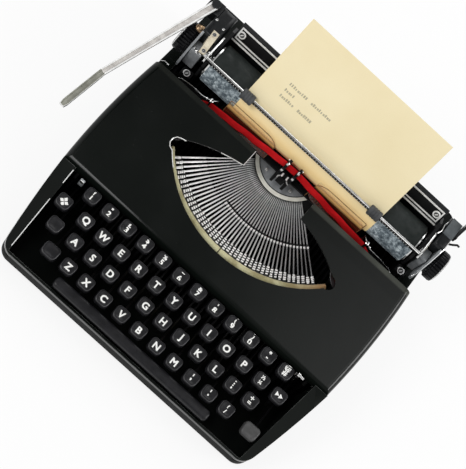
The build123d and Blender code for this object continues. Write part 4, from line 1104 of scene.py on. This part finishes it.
def add_deck_wires():
    """Thin bright wires and hooks behind the ribbon cover, standing on the casing."""
    wires = Shape("bright")
    wires.tube([(-118.4, 49.4, 66.4), (-118.4, 49.4, 87.0), (-116.4, 50.0, 88.4), (-105.0, 51.2, 89.2),
                (-95.0, 50.0, 91.4), (-87.4, 50.4, 94.0)], 0.42)
    wires.tube([(118.4, 49.4, 66.4), (118.4, 49.4, 84.0), (115.0, 50.4, 86.0), (104.0, 51.4, 87.6),
                (92.0, 50.6, 90.0), (87.4, 50.4, 94.0)], 0.38)
    wires.finish = "chrome"
    wires.tube([(-139.2, 47.8, 66.4), (-139.2, 47.8, 86.0), (-138.6, 48.6, 89.4), (-135.8, 50.0, 90.6),
                (-132.4, 50.0, 90.4)], 0.5)
    for x, y, z, half in ((-132.0, 50.0, 90.4, 1.0), (-90.2, 50.3, 93.0, 1.1), (-86.4, 50.3, 97.4, 1.1),
                          (90.2, 50.3, 93.0, 1.1), (86.4, 50.3, 97.4, 1.1)):
        wires.turned([(0.05, -half), (0.8, -0.7), (1.1, 0), (0.8, 0.7), (0.05, half)], (x, y, z), Z, 12)
    wires.make("deck_wires", "chassis", sharp=35)


def add_card_holders():
    """The darker cut edge of the clear plates and the brown marks along their feet."""
    marks = Shape("brown_mark")
    inner, outer, top, corner = 23.0, 74.0, 113.0, 12.0
    edge = [(inner, 76.5)] + [(inner + corner - corner * math.cos(math.radians(a)),
                               top - corner + corner * math.sin(math.radians(a))) for a in range(0, 91, 15)]
    edge += [(outer - 1.0, top), (outer, top - 1.0), (outer, 76.5)]
    for side in (-1, 1):
        marks.finish = "brown_mark"
        for step in range(17):
            marks.tick(side * (26.0 + step * 2.75), 53.0, 80.2, 80.2 + (4.4 if step % 5 else 6.4), 0.3)
        marks.finish = "amber"
        marks.tube([(side * x, 53.3, z - 0.2) for x, z in edge], 0.34)
    marks.make("card_holder_marks", "chassis")


def add_return_lever():
    """A plated channel: bright ribs at its edges, a duller hollow, flanks painted black as shade and a darker
    grip at its end.
    """
    low, high = corners("return_lever")
    base, thick = low.z, high.z - low.z
    pivot, kink, tip = Vector((-135.0, 99.0)), Vector((-163.0, -13.0)), Vector((-168.0, -57.0))
    lever = Shape("plated")
    steps, ends = 26, 12
    line = [pivot.lerp(kink, step / steps) for step in range(steps + 1)]
    line += [kink.lerp(tip, step / ends) for step in range(1, ends + 1)]
    total = len(line) - 1
    rings = []
    for index, point in enumerate(line):
        ahead = (line[min(index + 1, total)] - line[max(index - 1, 0)]).normalized()
        across = Vector((-ahead.y, ahead.x))
        half = 3.9 - 1.0 * min(1.0, index / total * 2.2)
        floor, roof = base + thick * 0.2, base + thick * 0.8
        if index > steps:
            half, floor, roof = 2.95, base, base + thick
        if index == total:
            half = 2.2
        rib = half * 0.42
        section = [(-half, floor), (-half, roof - 0.5), (-half + 0.4, roof), (-half + rib, roof),
                   (-half + rib + 0.3, roof - 0.7), (half - rib - 0.3, roof - 0.7), (half - rib, roof),
                   (half - 0.4, roof), (half, roof - 0.5), (half, floor)]
        rings.append([(point.x + across.x * u, point.y + across.y * u, z) for u, z in section])
    faces = lever.skin(rings)
    count = len(rings[0])
    for index, face in enumerate(faces[:total * count]):
        place, grip = index % count, index // count >= steps
        # Painted shade: the flanks and underside are black.
        if place in (0, 8, 9):
            lever.cover([face], "lacquer")
        elif grip and 2 <= place <= 6:
            lever.cover([face], "grip")
        elif place in (3, 4, 5):
            lever.cover([face], "hollow")
    lever.finish = "lacquer"
    lever.turned([(4.2, 0.05), (5.4, 0.05), (5.4, thick * 0.16), (4.2, thick * 0.16)], (*pivot, base), Z)
    lever.make("return_lever_plated", "return_lever_body", ["return_lever"], 40)
    cap = Shape("lacquer")
    cap.turned([(0.05, 0), (2.7, 0), (2.7, 0.3), (0.05, 0.4)], (*pivot, base + thick * 0.8 - 0.6), Z, 24)
    cap.make("return_lever_pin", "carriage", sharp=35)


def add_small_levers():
    """Hooks and tips of the paper release, the margin lever and the ribbon selector."""
    x = corners("paper_release_lever")[0].x
    hook = Shape("knob")
    hook.tube([(x + 1.1, 104.5, 134.0), (x + 3.0, 106.0, 136.6), (x + 6.2, 107.0, 137.4)], 1.3, 10)
    hook.make("paper_release_hook", "release_lever_body")
    small = Shape("disc")
    small.block((-120.6, -69.5, 62.6), (-116.4, -67.6, 73.8), 0.5)
    small.finish = "bright"
    small.block((-120.2, -70.2, 70.0), (-116.8, -69.4, 74.2), 0.4)
    small.make("margin_lever_tip", "chassis", sharp=35)
    low, high = corners("ribbon_selector")
    tip = Shape("bright")
    tip.tube([(low.x + right, y, high.z - down) for right, y, down in (
        (1.0, -67.5, 3.4), (1.0, -67.7, 1.6), (3.4, -67.9, 1.2), (6.0, -68.0, 1.6))], 1.1, 10)
    tip.make("ribbon_selector_tip", "selector")


def add_paper():
    """One sheet from behind the table, round the platen and up behind the bail, with a few typed strokes."""
    low, high = corners("paper")
    radius, above_platen = 18.85, 93.2
    lean = math.radians(37.0)
    leave = math.pi - lean

    def on_platen(angle):
        return Vector((0, PLATEN_Y + radius * math.cos(angle), PLATEN_Z + radius * math.sin(angle)))

    start = on_platen(leave)
    rise = Vector((0, math.sin(lean), math.cos(lean)))
    path = [start + rise * above_platen * (1 - step / 24) for step in range(24)]
    path += [on_platen(leave + (math.tau - leave) * step / 32) for step in range(33)]
    tail = [Vector((0, PLATEN_Y + radius, 116.0)), Vector((0, 106.4, 141.5))]
    for first, second in zip([path[-1]] + tail, tail):
        path += [first.lerp(second, step / 6) for step in range(1, 7)]
    columns = 24
    sheet = Shape("paper")
    sheet.skin([[Vector((low.x + (high.x - low.x) * k / columns, point.y, point.z)) for k in range(columns + 1)]
                for point in path], closed=False, caps=False)
    piece = sheet.make("paper_sheet", "carriage", ["paper"], 80)
    strokes = Shape("type_ink")
    normal = Vector((0, -rise.z, rise.y))
    random = Random(3)
    letter_step, word_gap, line_step = 2.1, 4.0, 6.4
    for line, words in enumerate(((17.0, 21.0), (9.0,), (13.0, 14.0))):
        base = start + rise * (38.0 - line * line_step) + normal * 0.06
        x = low.x + 21.0
        for word in words:
            end = x + word
            while x < end:
                wide = random.uniform(0.9, 1.8)
                tall = random.choice((1.9, 1.9, 2.6))
                outline = ((x, 0), (x + wide, 0), (x + wide, tall), (x, tall))
                strokes.flat(base + X * u + rise * v for u, v in outline)
                x += letter_step
            x += word_gap
    strokes.make("typed_strokes", "carriage")


# Floor and light
def seen_directly(tree):
    """1 for what the camera, a reflection or glass shows, and 0 for light that falls on surfaces."""
    path = tree.nodes.new("ShaderNodeLightPath").outputs
    total = path["Is Camera Ray"]
    for name in ("Is Glossy Ray", "Is Transmission Ray"):
        total = add_node(tree, "Math", {0: total, 1: path[name]}, operation="MAXIMUM").outputs[0]
    return total


def add_stage():
    mesh = bpy.data.meshes.new("floor")
    half = 6.0
    mesh.from_pydata([(-half, -half, 0), (half, -half, 0), (half, half, 0), (-half, half, 0)], [], [(0, 1, 2, 3)])
    floor = add_object("floor", mesh)
    floor.location.z = -0.0004
    material = bpy.data.materials.new("white_floor")
    material.use_nodes = True
    tree = material.node_tree
    tree.nodes.clear()
    diffuse = add_node(tree, "BsdfDiffuse", {"Color": rgba(0.82)}).outputs[0]
    glow = add_node(tree, "Emission", {"Strength": 1.0}).outputs[0]
    share = add_node(tree, "Math", {0: seen_directly(tree), 1: 0.85}, operation="MULTIPLY").outputs[0]
    mix = add_node(tree, "MixShader", {0: share, 1: diffuse, 2: glow}).outputs[0]
    add_node(tree, "OutputMaterial", {"Surface": mix})
    mesh.materials.append(material)


def add_light():
    """A soft white room that is darker overhead, with a bright patch high on the right, and three soft lamps."""
    world = bpy.data.worlds.new("studio")
    bpy.context.scene.world = world
    world.use_nodes = True
    tree = world.node_tree
    direction = tree.nodes.new("ShaderNodeTexCoord").outputs["Generated"]

    def patch(centre, start, end, low, high):
        centre = Vector(centre).normalized()
        dot = add_node(tree, "VectorMath", {0: direction, 1: centre}, operation="DOT_PRODUCT").outputs["Value"]
        return add_node(tree, "MapRange", {"From Min": start, "From Max": end, "To Min": low, "To Max": high,
                                           "Value": dot}, interpolation_type="SMOOTHSTEP").outputs[0]

    overhead, bright_patch = patch(Z, 0.35, 0.93, 1.0, 0.28), patch((0.34, 0.12, 0.93), 0.955, 0.995, 0.0, 1.5)
    shown = add_node(tree, "Math", {0: overhead, 1: bright_patch}, operation="ADD").outputs[0]
    level = add_node(tree, "MapRange", {"Value": seen_directly(tree), "To Min": 0.55, "To Max": shown}).outputs[0]
    fill(tree, tree.nodes["Background"], {"Color": rgba(1.0), "Strength": level})
    for name, place, size, power in (("key", (-0.7, -0.5, 1.3), 0.7, 9.0), ("side", (1.2, 0.2, 0.9), 0.6, 7.0),
                                     ("back", (0.0, 1.2, 1.0), 0.9, 6.0)):
        light = bpy.data.lights.new(name, "AREA")
        light.shape = "DISK"
        light.size = size
        light.energy = power
        lamp = add_object(name, light)
        lamp.location = place
        lamp.rotation_euler = (Z * 0.05 - Vector(place)).to_track_quat("-Z", "Y").to_euler()


add_camera()
dress_nodes()
add_feet()
add_rims()
add_keyboard()
add_basket()
add_ribbon()
add_platen()
add_bail()
add_carriage()
add_card_holders()
add_return_lever()
add_small_levers()
add_paper()
add_stage()
add_light()
bpy.context.scene.view_settings.view_transform = "Standard"
